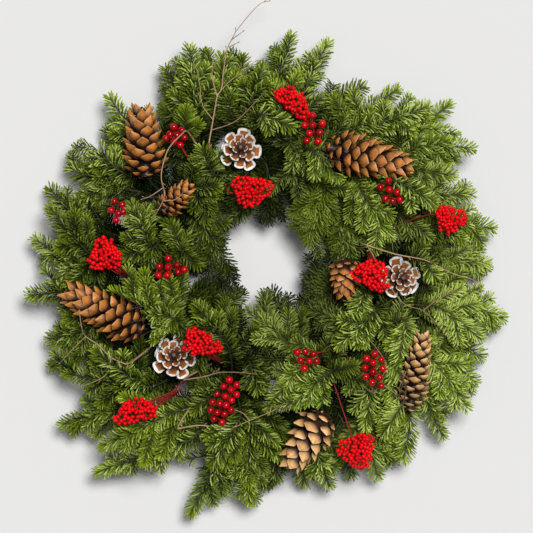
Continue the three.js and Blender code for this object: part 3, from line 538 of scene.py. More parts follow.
# %% The plan of the twigs
# A twig's first line starts at the end that turns down to the ring. The others are its branches.
TWIG_LINES = {
    "top": [[(-70, 160), (-65, 188), (-60, 217), (-55, 226), (-52, 251), (-48, 275), (-42, 288), (-34, 302),
             (-10, 330), (4, 336)],
            [(-43, 287), (-28, 298)], [(-46, 278), (-34, 284)],
            [(-55, 225), (-44, 236), (-15, 259), (-5, 262)],
            [(-60, 217), (-66, 240), (-65, 265)], [(-65, 188), (-78, 206), (-81, 228), (-85, 250)],
            [(-68, 175), (-38, 186), (-14, 209), (-1, 223)]],
    "upper_left": [[(-99, 174), (-118, 154), (-126, 133), (-128, 115), (-124, 96), (-131, 78), (-140, 68)],
                   [(-126, 104), (-141, 94), (-152, 90)], [(-125, 88), (-110, 90), (-100, 100)]],
    "left": [[(-172, -112), (-190, -104), (-207, -88), (-222, -78), (-226, -66), (-229, -46)],
             [(-222, -78), (-239, -95), (-254, -111)],
             [(-190, -104), (-196, -124), (-212, -134), (-229, -140)]],
    "lower": [[(-100, -131), (-75, -127), (-57, -122), (-34, -122), (-12, -124)]],
    "bottom": [[(-108, -191), (-85, -187), (-69, -188), (-44, -190), (-20, -181), (9, -169)],
               [(-36, -188), (-54, -199)], [(-20, -181), (-30, -171), (-48, -166)], [(9, -169), (22, -160)]],
    "lower_right": [[(133, -147), (140, -134), (147, -113), (142, -101), (129, -84)],
                    [(140, -134), (152, -143), (163, -150), (164, -139), (171, -122)],
                    [(163, -150), (160, -166), (159, -180)]],
    "right": [[(124, 34), (159, 23), (186, 18), (200, 14), (230, -1), (257, -10), (271, -31)],
              [(124, 34), (140, 6), (155, -21), (171, -39), (192, -46), (211, -64), (224, -80)],
              [(192, -46), (214, -30), (237, -20)]],
}

# %% Ways down to the ring
HOOP_TOP = 3.94 * MM
BEND_LEVEL = 26 * MM
FEET = (RING_INNER - 1.6 * MM, RING_OUTER + 1.2 * MM)  # how far out the wires stand on the hoops
CONE_WIRE = 1.1 * MM
STALK = 1.2 * MM
TWIG_STEM = 1.3 * MM


def way_down(corners, start, leave, radius):
    """The wire or stem from a piece to its foot on a hoop, as its solid goes."""
    out = (start - RING_MIDDLE).xy
    own, tried = math.atan2(out.y, out.x), []
    for turn in range(-9, 10):
        angle = own + math.radians(3.5 * turn)
        for hoop in FEET:
            foot = polar(hoop, angle, HOOP_TOP)
            for pull in (10 * MM, 22 * MM):
                above = Vector((foot.x, foot.y, BEND_LEVEL))
                curve = (start, start + leave * pull, above + UP * pull, above)
                points = [bezier(*curve, 1 / 3), bezier(*curve, 2 / 3), above]
                tried.append((misfit(corners, points, radius), len(tried), curve, foot))
    miss, _, curve, foot = min(tried)
    return [bezier(*curve, i / 8) for i in range(9)] + [foot], miss


# %% Read the cones, sprays and twigs
def along_line(points, corners, reach):
    line = [plan(x, y) for x, y in points]
    for point in line:
        point.z = height_at(corners, point, reach)
    return line


cones, sprays, twigs, misses = {}, {}, {}, []
for kind, table in (("pine_cone", BROWN_CONES), ("frosted_cone", FROSTED_CONES)):
    for name, (bx, by, bz, tx, ty, tz, width) in table.items():
        node = f"{kind}_{name}"
        base, tip = plan(bx, by, bz), plan(tx, ty, tz)
        axis = (tip - base).normalized()
        wire, miss = way_down(corners_of(node), base + axis * 7 * MM, -axis, CONE_WIRE)
        cones[node] = {"base": base, "tip": tip, "width": width * MM, "wire": wire}
        misses.append((round(miss / MM, 2), node))
for kind, table in (("glossy_berries", GLOSSY_STALKS), ("pepperberries", PEPPER_STALKS)):
    for name, points in table.items():
        node = f"{kind}_{name}"
        corners = corners_of(node)
        stalk = along_line(points, corners, 1.5 * MM)
        wire, miss = way_down(corners, stalk[-1], (stalk[-1] - stalk[-2]).normalized(), STALK)
        sprays[node] = {"stalk": stalk, "wire": wire}
        misses.append((round(miss / MM, 2), node))
for name, lines in TWIG_LINES.items():
    node = f"twig_{name}"
    corners = corners_of(node)
    read = [along_line(points, corners, 1.7 * MM) for points in lines]
    leave = read[0][0] - read[0][1]
    leave.z = -20 * MM
    wire, miss = way_down(corners, read[0][0], leave.normalized(), TWIG_STEM)
    twigs[node] = {"lines": read, "wire": wire}
    misses.append((round(miss / MM, 2), node))
print("ways down:", len(misses), "largest misses:", sorted(misses)[-3:])

# %% [markdown]
# ## The lines that fir, berries and twigs grow on
#
# A stem, a stalk and a twig are the same thing: a line with a thickness at every point.
# Each bunch or spray is first drawn as plain mesh edges that carry a few numbers per
# point. `radius` is how thick the wood is there, `leafy` says whether needles grow there,
# `lead` runs from 0 to 1 along a shoot and `tint` makes one shoot differ from the next.
# Geometry Nodes then turn the lines into wood and needles.

# %% Lines with numbers on them
POINT_NUMBERS = ("radius", "leafy", "lead", "tint", "silver", "young", "roll", "grow", "fruit")


def line_of(points, radius, **numbers):
    """A line: its points, its thickness from start to end, and plain or per-point numbers."""
    count = len(points)
    line = {"points": points}
    line["radius"] = [radius[0] + (radius[1] - radius[0]) * i / (count - 1) for i in range(count)]
    for name in POINT_NUMBERS[1:]:
        value = numbers.get(name, 0.0)
        line[name] = value if isinstance(value, list) else [value] * count
    return line


def mesh_of(name, lines):
    mesh = bpy.data.meshes.new(name)
    points, edges = [], []
    for line in lines:
        first = len(points)
        points += [tuple(p) for p in line["points"]]
        edges += [(first + i, first + i + 1) for i in range(len(line["points"]) - 1)]
    mesh.from_pydata(points, edges, [])
    for key in POINT_NUMBERS:
        values = [v for line in lines for v in line[key]]
        mesh.attributes.new(key, "FLOAT", "POINT").data.foreach_set("value", values)
    return mesh


# %% [markdown]
# ## What must stay in view
#
# Fir grows everywhere, but nobody lets it hide the cones. A set of points along every
# cone and under every berry cluster says how far around it, and above which height, no
# needle may reach. The same test keeps a few notches of the outline open. A painter would
# call it a mask. It is tested from above, because that is where the wreath is looked at
# from.

# %% Places kept clear of needles
CONE_SPOTS = 13
# Notches of the outline that stay open: x, y and reach in millimetres.
NOTCHES = [
    (-82, -234, 7), (-102, -243, 7), (-122, -266, 8), (162, -252, 9), (90, 254, 8), (84, 236, 3),
    (-165, -264, 9), (-212, 162, 7), (137, 231, 7), (-243, 121, 3), (-273, -47, 3), (-277, -6, 4),
    (193, -190, 5),
]


def keep_clear():
    """Spots seen from above; at each, no needle goes higher than its level within its reach."""
    spots = []
    for node, cone in cones.items():
        width = cone["width"]
        if node.startswith("frosted"):
            middle = cone["base"].lerp(cone["tip"], 0.5)
            spots.append((middle, width * 0.5, middle.z - 4 * MM))
            continue
        for i in range(CONE_SPOTS):
            t = (i + 0.5) / CONE_SPOTS
            place = cone["base"].lerp(cone["tip"], t)
            taper = min(1.0, math.sqrt(t / 0.22), math.sqrt(max(0.0, 1.06 - t) / 0.72))
            spots.append((place, width * 0.47 * taper, place.z - 0.1 * width))
    for name, berries in GLOSSY_BERRIES.items():
        level = sprays[f"glossy_berries_{name}"]["stalk"][0].z
        spots += [(plan(x, y), 4.5 * MM, level + 4 * MM) for x, y in berries]
    for name, (x, y, half, wide, turn) in PEPPER_CLUSTERS.items():
        level = sprays[f"pepperberries_{name}"]["stalk"][0].z
        way = Vector((math.cos(math.radians(turn)), math.sin(math.radians(turn)), 0))
        spots += [(plan(x, y) + way * i * (half - wide) * MM, wide * MM, level + 2 * MM) for i in (-1, 0, 1)]
    for name, (x0, y0, x1, y1) in RED_BUNDLES.items():
        level = sprays[f"pepperberries_{name}"]["stalk"][0].z
        spots += [(plan(x0, y0).lerp(plan(x1, y1), 0.2 * i), (6 - 0.9 * i) * MM, level + (3 - i) * MM)
                  for i in range(5)]
    spots += [(plan(x, y), wide * MM, -1.0) for x, y, wide in NOTCHES]
    places, reach, level = zip(*spots)
    print("places kept clear of needles:", len(spots))
    return shape_of("keep_clear", [(p.x, p.y, 0) for p in places], [], reach=reach, level=level)


CLEAR = keep_clear()

# %% [markdown]
# ## One fir needle
#
# A fir needle is a thin flat blade, blunt at the tip, with a glossy dark upper face and
# two pale bands under it. There are tens of thousands of them, so one needle has only
# nine faces, on two rings of four corners and a tip. It is one unit long and one unit
# wide, and the tree scales it. The number `under` is 1 on the lower face and `along`
# runs to the tip, so that the material can tell them apart.

# %% The needle
def make_needle():
    points, along, under = [], [], []
    for y, wide, bow in ((0.0, 0.5, 0.0), (0.86, 1.0, 0.03)):
        for x, z, low in ((-0.5, 0.0, 0.35), (0.0, 0.5, 0.0), (0.5, 0.0, 0.35), (0.0, -0.5, 1.0)):
            points.append((x * wide, y, z * (0.5 + 0.5 * wide) + bow * 6))
            along.append(y)
            under.append(low)
    faces = [(0, 1, 2, 3)]
    for k in range(4):
        n = (k + 1) % 4
        faces += [(k, k + 4, n + 4, n), (k + 4, 8, n + 4)]
    return shape_of("needle", points + [(0.0, 1.0, 0.0)], faces, along=along + [1.0], under=under + [0.3])


NEEDLE = make_needle()
print("faces of one needle:", len(NEEDLE.data.polygons))

# %% [markdown]
# ## Finishes of the fir
#
# The upper face is a waxy dark green that turns yellow-green towards the fresh tips. The
# lower face is paler. Whole bunches towards the right of the wreath are lightened with
# painted light, because the light comes from the right. Needles low and deep in the wreath,
# and each needle near its foot, get painted shade, nearly black-green. Bark is grey-brown.

# %% Needle and bark materials
def paint_fir(tree, colour):
    along, place = attribute(tree, "along"), place_on(tree)
    from_middle = apply("LENGTH", (place - RING_MIDDLE) * (1, 1, 0))
    height = place.z + ramp(from_middle, 0.19, 0.29, 0.0, 50 * MM)
    shades = {
        "fresh tip": (attribute(tree, "fresh") * 0.6, (0.25, 0.36, 0.004)),
        "needle's end": (ramp(along, 0.5, 1.0) * 0.4, (0.34, 0.44, 0.03)),
        # Painted light: whole bunches towards the right of the wreath are lightened.
        "painted light on the right": (attribute(tree, "silver") * 0.4, (0.29, 0.43, 0.05)),
        "glint": (ramp(attribute(tree, "tint"), 0.42, 1.0, 0.0, 0.85), (0.54, 0.66, 0.16)),
        "pale band": (ramp(attribute(tree, "under"), 0.45, 0.9) * 0.6, (0.19, 0.31, 0.04)),
        # Painted shade: needles low and deep in the wreath go nearly black, less so towards its outer edge.
        "painted shade deep down": (ramp(height, 44 * MM, 86 * MM, 0.95, 0.0), (0.002, 0.006, 0.000)),
        # Painted shade: each needle darkens towards its foot, next to the twig.
        "painted shade at the foot": (ramp(along, 0.0, 0.45, 0.75, 0.0), (0.003, 0.009, 0.000)),
    }
    for share, shade in shades.values():
        colour = blend(tree, share, colour, shade)
    return colour


FIR = finish("fir_needle", dark=(0.001, 0.006, 0.000), light=(0.047, 0.118, 0.000), blotch=22, strength=0.5,
             grain=0.8, rough=(0.30, 0.44), bump=(0.25, 0.1), paint=paint_fir, Specular_IOR_Level=0.10)
BARK = finish("fir_bark", dark=(0.016, 0.014, 0.004), light=(0.075, 0.062, 0.018), blotch=9, strength=0.5,
              grain=0.9, rough=(0.6, 0.9), bump=(0.7, 0.3))
print("finishes of the fir:", FIR.name, "and", BARK.name)

# %% [markdown]
# ## How fir grows
#
# Needles stand on a shoot in a spiral. In a fir they bend into two flat rows, left and
# right, with shorter ones over the top that lean forward. The tree walks along each
# line, turns by the golden angle from needle to needle, flattens the circle that they
# point to, and leans them towards the tip, more so at the end of the shoot. It drops the
# needles that would cover a cone or go through the floor. A particle system could do this
# too, but a tree can be read, and every size in it has a name.

# %% Steps that several trees share
GOLDEN_ANGLE = math.radians(137.508)


def number(tree, name, kind="FLOAT"):
    return geo(tree, "InputNamedAttribute", {"Name": name}, data_type=kind)


def chance(tree, low, high, seed):
    return step(tree, "FunctionNodeRandomValue", {2: low, 3: high, "Seed": seed}, 1, data_type="FLOAT")


def rotated(arrow, axis, angle):
    return step(arrow.tree, "ShaderNodeVectorRotate", {
        "Vector": arrow, "Center": (0, 0, 0), "Axis": axis, "Angle": angle}, rotation_type="AXIS_ANGLE")


def facing(way, face):
    """Turns a shape's +Y along the way and its +Z to the face."""
    return step(way.tree, "FunctionNodeAxesToRotation", {"Primary Axis": way, "Secondary Axis": face},
                primary_axis="Y", secondary_axis="Z")


def xyz(tree, x, y, z):
    return step(tree, "ShaderNodeCombineXYZ", {0: x, 1: y, 2: z})


def stored(points, name, value):
    return geo(points.tree, "StoreNamedAttribute", {"Geometry": points, "Name": name, "Value": value},
               data_type="FLOAT", domain="POINT")


def circle(tree, sides, radius):
    return geo(tree, "CurvePrimitiveCircle", {"Resolution": sides, "Radius": radius})


def painted(parts, material):
    """The parts as one plain mesh with its material."""
    whole = geo(parts.tree, "RealizeInstances", {0: parts})
    return geo(parts.tree, "SetMaterial", {"Geometry": whole, "Material": material})


def smoothed(parts):
    return geo(parts.tree, "SetShadeSmooth", {"Geometry": parts})


def swept(lines, sides):
    """A round section along the lines, as thick as their `radius`."""
    tree = lines.tree
    return geo(tree, "CurveToMesh", {"Curve": lines, "Profile Curve": circle(tree, sides, 1.0),
                                     "Scale": number(tree, "radius"), "Fill Caps": True})


def repeated(points, shape, turn, size, material, **more):
    """An object's shape on every point, turned and sized there."""
    solid = geo(points.tree, "ObjectInfo", {"Object": shape}, "Geometry")
    many = geo(points.tree, "InstanceOnPoints", {
        "Points": points, "Instance": solid, "Rotation": turn, "Scale": size, **more})
    return painted(many, material)


def joined(*parts):
    tree = parts[0].tree
    both = put(tree, "GeometryNodeJoinGeometry")
    for part in parts:
        tree.links.new(part.socket, both.inputs[0])
    return Flow(tree, both.outputs[0])


def given(result):
    """Ends a tree with what it gives out."""
    put(result.tree, "NodeGroupOutput", {0: result})
    return result.tree


# %% The test for covered places
def make_cover_test():
    tree, takes = new_tree("covers_an_ornament", "Geometry", [("Clear", "Geometry"), ("Place", "Vector")],
                           ("Covers", "Float"))
    clear, flat = takes["Clear"], takes["Place"] * (1, 1, 0)
    nearest = geo(tree, "SampleNearest", {"Geometry": clear, "Sample Position": flat}, "Index",
                  domain="POINT")

    def sampled(value, kind="FLOAT"):
        feeds = {"Geometry": clear, "Value": value, "Index": nearest}
        return geo(tree, "SampleIndex", feeds, "Value", data_type=kind)

    spot = sampled(geo(tree, "InputPosition"), "FLOAT_VECTOR")
    inside = apply("DISTANCE", flat, spot) < sampled(number(tree, "reach"))
    return given(inside * (takes["Place"].z > sampled(number(tree, "level"))))


COVER_TEST = make_cover_test()
print("nodes in the test:", len(COVER_TEST.nodes))


# %% The tree that grows fir
def make_fir_tree():
    tree, takes = new_tree("grow_fir", "Geometry", [
        ("Lines", "Geometry"), ("Needle", "Object"), ("Clear", "Object"), ("Pitch", "Float", 0.46 * MM),
        ("Length", "Float", 16.8 * MM), ("Width", "Float", 1.5 * MM), ("Lean", "Float", math.radians(65)),
        ("Flatness", "Float", 0.5), ("Lowest", "Float", 1.5 * MM), ("Seed", "Int", 1),
        ("Needle finish", "Material"), ("Bark finish", "Material")], ("Fir", "Geometry"))
    seed, lead = takes["Seed"], number(tree, "lead")
    curve = geo(tree, "SetCurveNormal", {0: geo(tree, "MeshToCurve", {0: takes["Lines"]})}, mode="Z_UP")
    walk = put(tree, "GeometryNodeCurveToPoints", {"Curve": curve, "Length": takes["Pitch"]}, mode="LENGTH")
    ahead, side = Flow(tree, walk.outputs["Tangent"]), Flow(tree, walk.outputs["Normal"])
    over = apply("CROSS_PRODUCT", side, ahead)
    over = over * apply("SIGN", over.z)
    side, over = (rotated(arrow, ahead, number(tree, "roll")) for arrow in (side, over))
    # The spiral, flattened into two rows.
    turn = geo(tree, "InputIndex") * GOLDEN_ANGLE + chance(tree, -0.2, 0.2, seed)
    across, lift = apply("COSINE", turn), apply("SINE", turn)
    across = apply("SIGN", across) * abs(across) ** 0.55
    out = apply("NORMALIZE", side * across + over * (lift * takes["Flatness"]))
    # The lean towards the tip: more for the upper needles and at the shoot's end.
    steep, at_end = abs(lift), lead ** 8.0
    lean = takes["Lean"] * (1.0 - steep * 0.3 - at_end * 0.5) + chance(tree, -0.07, 0.07, seed + 1)
    way = apply("NORMALIZE", ahead * apply("COSINE", lean) + out * apply("SINE", lean))
    wobble = step(tree, "FunctionNodeRandomValue", {
        0: (-0.25, -0.25, -0.1), 1: (0.25, 0.25, 0.3), "Seed": seed + 2}, data_type="FLOAT_VECTOR")
    shorter = (1.0 - steep * 0.28) * chance(tree, 0.92, 1.06, seed + 3)
    size = takes["Length"] * number(tree, "grow") * shorter * (1.0 - at_end * 0.38)
    # The needles that may stay.
    start = geo(tree, "InputPosition")
    end = start + way * size
    clear = geo(tree, "ObjectInfo", {"Object": takes["Clear"]}, "Geometry")
    hidden = [geo(tree, "Group", {0: clear, 1: place}, node_tree=COVER_TEST)
              for place in (end, start, start + way * (size * 0.55))]
    shows = hidden[0] + hidden[1] + hidden[2] < 0.5
    grows = (number(tree, "leafy") > 0.5) * ((end.z > takes["Lowest"]) * shows)
    points = geo(tree, "SetPosition", {"Geometry": Flow(tree, walk.outputs["Points"]),
                                       "Offset": out * (number(tree, "radius") * 0.8)})
    points = stored(points, "fresh", lead ** 5.0 + number(tree, "young"))
    points = stored(points, "tint", number(tree, "tint") + chance(tree, -0.6, 0.7, seed + 4))
    scale = xyz(tree, takes["Width"], size, takes["Width"] * 0.42)
    needles = repeated(points, takes["Needle"], facing(way, over + wobble), scale, takes["Needle finish"],
                       Selection=grows)
    return given(joined(needles, painted(smoothed(swept(curve, 5)), takes["Bark finish"])))


GROW_FIR = make_fir_tree()
print("nodes in the tree of the fir:", len(GROW_FIR.nodes))

# %% [markdown]
# ## The bunches of fir
#
# Each bunch is a handful of cut branches. Every branch starts as a bare cut end at the
# back of its clamp, runs through the clamp with the others, bends up and out, and carries
# needles from just outside the clamp to its tip. Side twigs stand out on both sides in a
# lower layer, which closes the wreath so that the ring can't be seen between the shoots.
# They grow by a rule. Where it leaves a bare place that the photograph doesn't have, a
# list adds a twig whose tip goes there.

# %% Sizes of the branches and side twigs
HOLE_MIDDLE = Vector((0.5 * MM, -0.5 * MM))
HOLE_RADIUS = 50 * MM
TWIG_LEAN = math.radians(40)
# Where the eight side twigs of a branch leave it, as shares of its leafy length.
TWIG_SHARES = (0.08, 0.15, 0.24, 0.33, 0.43, 0.52, 0.61, 0.7)
SHORTEST_TWIG, LONGEST_TWIG = 22 * MM, 62 * MM
LOWEST_TIP = 14 * MM
BEHIND_TIPS = 18 * MM
NEEDLES_BESIDE = 16  # in millimetres, how far needles reach from a twig's tip
INNER_PART = 0.2  # so near to the middle, no twig reaches the outline
LOW_TWIG_TURNS = (-105, -70, -35, 25, 62, 98)
rng = random.Random(7)

# %% Twigs that close bare places
NEEDLES_PAST_TIP = 5 * MM
CUT_END_SPREAD = 2.9  # in millimetres
QUARTERS = [0.0, 0.25, 0.5, 0.75, 1.0]
# Side twigs that close a bare place: the tips' x, y in millimetres, by bunch and number of the shoot.
CLOSING_TWIGS = {
    ("rim_1", 0): [(-130, 204)],
    ("rim_1", 1): [(-112, 262)],
    ("rim_1", 2): [(-78, 276)],
    ("rim_2", 0): [(-44, 266)],
    ("rim_2", 1): [(-44, 273)],
    ("rim_2", 3): [(14, 276), (10, 280)],
    ("rim_3", 0): [(66, 246)],
    ("rim_3", 1): [(84, 236)],
    ("rim_4", 1): [(178, 216)],
    ("rim_4", 2): [(236, 170)],
    ("rim_5", 0): [(234, 138)],
    ("rim_5", 1): [(228, 142)],
    ("rim_5", 3): [(248, 110)],
    ("rim_6", 0): [(268, 36)],
    ("rim_6", 1): [(266, 30), (266, 0), (274, 2), (266, -4), (242, -16)],
    ("rim_7", 0): [(276, -64), (262, -26), (278, -66), (284, -68), (242, -12)],
    ("rim_8", 0): [(252, -148)],
    ("rim_8", 1): [(232, -168), (244, -142)],
    ("rim_9", 0): [(172, -216)],
    ("rim_9", 1): [(150, -226)],
    ("rim_11", 0): [(-4, -266)],
    ("rim_11", 1): [(-36, -276), (-10, -280)],
    ("rim_11", 2): [(-80, -242)],
    ("rim_12", 0): [(-100, -232)],
    ("rim_12", 1): [(-194, -226), (-148, -238), (-168, -246), (-112, -228), (-180, -246)],
    ("rim_13", 0): [(-238, -194), (-240, -198)],
    ("rim_13", 1): [(-148, -112), (-262, -98), (-134, -100), (-156, -80)],
    ("rim_13", 2): [(-154, -92)],
    ("rim_14", 0): [(-258, -66)],
    ("rim_14", 2): [(-274, 4)],
    ("rim_15", 0): [(-278, 16)],
    ("rim_15", 2): [(-246, 104)],
    ("rim_16", 0): [(-240, 148), (-226, 136)],
    ("rim_16", 1): [(-236, 154), (-222, 142), (-150, 82)],
    ("face_2", 0): [(-44, 62)],
    ("face_2", 2): [(24, 68), (-8, 66)],
    ("face_2", 3): [(-106, 128)],
    ("face_4", 0): [(66, 22), (38, 58), (44, 48), (36, 66), (30, 74), (32, 56)],
    ("face_5", 0): [(134, 26), (140, 40)],
    ("face_5", 1): [(84, 20), (78, 34)],
    ("face_5", 2): [(152, 26)],
    ("face_7", 0): [(62, 12), (72, 22), (50, -24), (50, 0), (54, 20)],
    ("face_7", 2): [(54, -34), (42, -32)],
    ("face_10", 0): [(14, -146), (30, -148), (2, -168), (12, -120)],
    ("face_10", 1): [(12, -162), (34, -150)],
    ("face_10", 2): [(-2, -32), (28, -28)],
    ("face_10", 3): [(-2, -24)],
    ("face_12", 0): [(-8, -160)],
    ("face_12", 1): [(-40, -20), (-36, -18)],
    ("face_12", 3): [(-92, -138)],
    ("face_14", 0): [(-140, -84), (-164, -14), (-126, -20), (-150, 2), (-170, 6), (-132, -98), (-154, -78)],
    ("face_14", 1): [(-62, -12), (-74, -8), (-60, -22), (-50, -16)],
    ("face_14", 2): [(-128, -92), (-98, -122), (-106, -124), (-104, -116), (-90, -140)],
    ("face_16", 0): [(-60, -8), (-72, 2), (-50, 52), (-52, 34), (-44, -6), (-40, -12)],
    ("face_16", 1): [(-160, 18), (-148, 6), (-86, 2), (-170, 74), (-146, 82), (-158, 68)],
    ("face_16", 2): [(-138, 84)],
    ("face_16", 3): [(-104, 132)],
}
print("twigs that close a bare place:", sum(len(tips) for tips in CLOSING_TWIGS.values()))


# %% One branch
def arched(start, tip, rise):
    """A short line that rises by some millimetres in its middle."""
    return [start.lerp(tip, t) + UP * rise * MM * math.sin(math.pi * t) for t in QUARTERS]


def branch_points(bunch, shoot, place):
    """The middle line of one branch, from its cut end to its tip."""
    side = bunch["tangent"].cross(UP)
    offset = side * math.cos(place) * CUT_END_SPREAD * MM + UP * math.sin(place) * CUT_END_SPREAD * MM
    points = [bunch["back"] + offset, bunch["back"].lerp(bunch["front"], 0.5) + offset]
    bare = len(points) + 2
    points += [bezier(*shoot["curve"], t) + offset * (1 - t) for t in (0.08, 0.2, 0.34, 0.5, 0.66, 0.82, 1.0)]
    bend = Vector([rng.uniform(low, high) * MM for low, high in ((-2, 2), (-2, 2), (0, 2.5))])
    bend.z += shoot["rise"]
    end = shoot["tip"] - (shoot["tip"] - shoot["start"]).normalized() * NEEDLES_PAST_TIP
    shafts = [0.2, 0.4, 0.6, 0.8, 1.0]
    points += [shoot["start"].lerp(end, t) + bend * math.sin(math.pi * t) for t in shafts]
    leafy = [0.0] * bare + [1.0] * (len(points) - bare)
    lead = [0.0] * (len(points) - len(shafts)) + shafts
    return points, leafy, lead


def walk_to(points, share):
    """The place and direction at a share of a line's length."""
    lengths = [(b - a).length for a, b in zip(points, points[1:])]
    left = share * sum(lengths)
    for (a, b), length in zip(zip(points, points[1:]), lengths):
        if left <= length:
            return a.lerp(b, left / length), (b - a).normalized()
        left -= length
    return points[-1], (points[-1] - points[-2]).normalized()


# %% Its side twigs
def allowed(tip, shoot):
    """Side twigs stay out of the hole and the notches, and behind the tips that make the outline."""
    if (tip.xy - HOLE_MIDDLE).length < HOLE_RADIUS + 8 * MM:
        return False
    if any((tip - plan(x, y)).xy.length < (wide + NEEDLES_BESIDE) * MM for x, y, wide in NOTCHES):
        return False
    if (tip - RING_MIDDLE).xy.length > max((shoot["tip"] - RING_MIDDLE).xy.length - BEHIND_TIPS, INNER_PART):
        return False
    return LOWEST_TIP < tip.z


def side_twigs(shoot, points):
    grown = []
    length = sum((b - a).length for a, b in zip(points[4:], points[5:]))
    for i, share in enumerate(TWIG_SHARES):
        start, ahead = walk_to(points[4:], share)
        turn = TWIG_LEAN * (1 if i % 2 else -1) * rng.uniform(0.75, 1.3)
        way = Matrix.Rotation(turn, 3, "Z") @ ahead
        way.z = min(way.z, 0.15) - rng.uniform(0.02, 0.2)
        reach = length * (1 - share) * rng.uniform(0.5, 0.66)
        for shrink in (1.0, 0.8, 0.6):
            tip = start + way.normalized() * min(max(reach * shrink, SHORTEST_TWIG), LONGEST_TWIG)
            if allowed(tip, shoot):
                middle = start.lerp(tip, 0.5) + UP * 2 * MM
                grown.append([start, start.lerp(middle, 0.5) + UP * MM, middle, middle.lerp(tip, 0.5), tip])
                break
    return grown


def closing_twigs(node, shoot, points):
    """Twigs to the listed places, from where they leave the branch at about 45 degrees."""
    grown = []
    for x, y in CLOSING_TWIGS.get((node.removeprefix("fir_bunch_"), shoot), ()):
        tip, tried = plan(x, y), []
        for part in range(1, 12):
            start, ahead = walk_to(points[4:], part / 12)
            turn = ahead.xy.angle((tip - start).xy, 0.0)
            tried.append((abs(turn - 0.8) + (tip - start).xy.length / 0.1, part, start))
        start = min(tried)[2]
        tip.z = max(16 * MM, start.z - 10 * MM)
        grown.append(arched(start, tip, 3))
    return grown


def low_twigs(bunch):
    """Short twigs that fan out close above the floor and hide the clamp and the hoops."""
    grown = []
    for turn in LOW_TWIG_TURNS:
        way = Matrix.Rotation(math.radians(turn + rng.uniform(-9, 9)), 3, "Z") @ bunch["tangent"]
        start = bunch["front"] - bunch["tangent"] * rng.uniform(2, 8) * MM
        tip = start + way * rng.uniform(42, 58) * MM + UP * rng.uniform(14, 26) * MM
        if (tip - RING_MIDDLE).xy.length < 0.19 and allowed(tip, bunch["shoots"][0]):
            grown.append(arched(start, tip, 5))
    return grown


# %% All lines of a bunch
def lines_of_bunch(bunch):
    lines = []
    # Painted light: bunches towards the right of the wreath, where the light comes from, get this number and
    # a higher tint, which make them lighter.
    silver = min(1.0, max(0.0, 0.3 + bunch["front"].x / 0.3))
    for i, shoot in enumerate(bunch["shoots"]):
        points, leafy, lead = branch_points(bunch, shoot, 1.3 + i * 2 * math.pi / len(bunch["shoots"]))
        tint, roll = rng.uniform(-0.05, 0.4) + 0.45 * silver, rng.uniform(-0.35, 0.35)
        looks = {"silver": silver * rng.uniform(0.2, 1.0), "young": max(0.0, rng.uniform(-0.3, 0.4))}
        lines.append(line_of(points, (2.0 * MM, 0.6 * MM), leafy=leafy, lead=lead, tint=tint, roll=roll,
                             grow=rng.uniform(0.92, 1.05), **looks))
        for twig in side_twigs(shoot, points) + closing_twigs(bunch["node"], i, points):
            lines.append(line_of(twig, (0.9 * MM, 0.5 * MM), leafy=1.0, lead=QUARTERS,
                                 tint=tint + rng.uniform(-0.15, 0.1), roll=rng.uniform(-0.5, 0.5),
                                 grow=rng.uniform(0.72, 0.92), **looks))
    for twig in low_twigs(bunch):
        lines.append(line_of(twig, (1.2 * MM, 0.6 * MM), leafy=1.0, lead=QUARTERS, tint=0.1,
                             roll=rng.uniform(-0.4, 0.4), grow=0.9))
    return lines


# %% Grow the bunches
total = 0
for seed, bunch in enumerate(bunches):
    node = bunch["node"]
    piece = run_tree(node + "_grown", mesh_of(node, lines_of_bunch(bunch)), GROW_FIR, {
        "Needle": NEEDLE, "Clear": CLEAR, "Seed": 10 * seed, "Needle finish": FIR, "Bark finish": BARK})
    total += hand_over(piece, node)
print("triangles of fir:", total)

# %% [markdown]
# ## Woody lines with berries or buds on them
#
# A spray of berries is a stalk with a short stem to every berry. The tree sweeps the
# wood and puts a berry on each point that carries a `fruit` size, turned along its stem.
# Twigs use the same tree with small buds.

# %% The tree that grows sprays and twigs
def make_spray_tree():
    tree, takes = new_tree("grow_spray", "Geometry", [
        ("Lines", "Geometry"), ("Berry", "Object"), ("Sides", "Int", 6), ("Smallest", "Float", 0.1 * MM),
        ("Berry finish", "Material"), ("Wood finish", "Material")], ("Spray", "Geometry"))
    lines, size = takes["Lines"], number(tree, "fruit")
    points = geo(tree, "MeshToPoints", {0: lines, "Selection": size > takes["Smallest"]})
    aim = number(tree, "aim", "FLOAT_VECTOR")
    turned = step(tree, "FunctionNodeAlignRotationToVector", {"Vector": aim}, axis="Z")
    berries = repeated(points, takes["Berry"], turned, size, takes["Berry finish"])
    wood = smoothed(swept(geo(tree, "MeshToCurve", {0: lines}), takes["Sides"]))
    return given(joined(berries, painted(wood, takes["Wood finish"])))


GROW_SPRAY = make_spray_tree()
print("nodes in the tree of the sprays:", len(GROW_SPRAY.nodes))


def grow_spray(node, ending, lines, berry, skin, wood, sides=6):
    """Grows one spray or twig from its lines; each point's berry looks along its own line."""
    mesh = mesh_of(node, lines)
    aims = []
    for line in lines:
        way = (line["points"][-1] - line["points"][-2]).normalized()
        aims += [c for _ in line["points"] for c in way]
    mesh.attributes.new("aim", "FLOAT_VECTOR", "POINT").data.foreach_set("vector", aims)
    hand_over(run_tree(node + ending, mesh, GROW_SPRAY, {
        "Berry": berry, "Sides": sides, "Berry finish": skin, "Wood finish": wood}), node)


# %% [markdown]
# ## Berries
#
# A glossy berry is a slightly flat ball with a dimple and the dark dried star of its
# flower at the far end. The small berries are simpler, because there are hundreds. Both
# are lathed from a short profile: a row of rings, from the stem round to the dimple.

# %% Berry shapes
NO_CROWN = 99


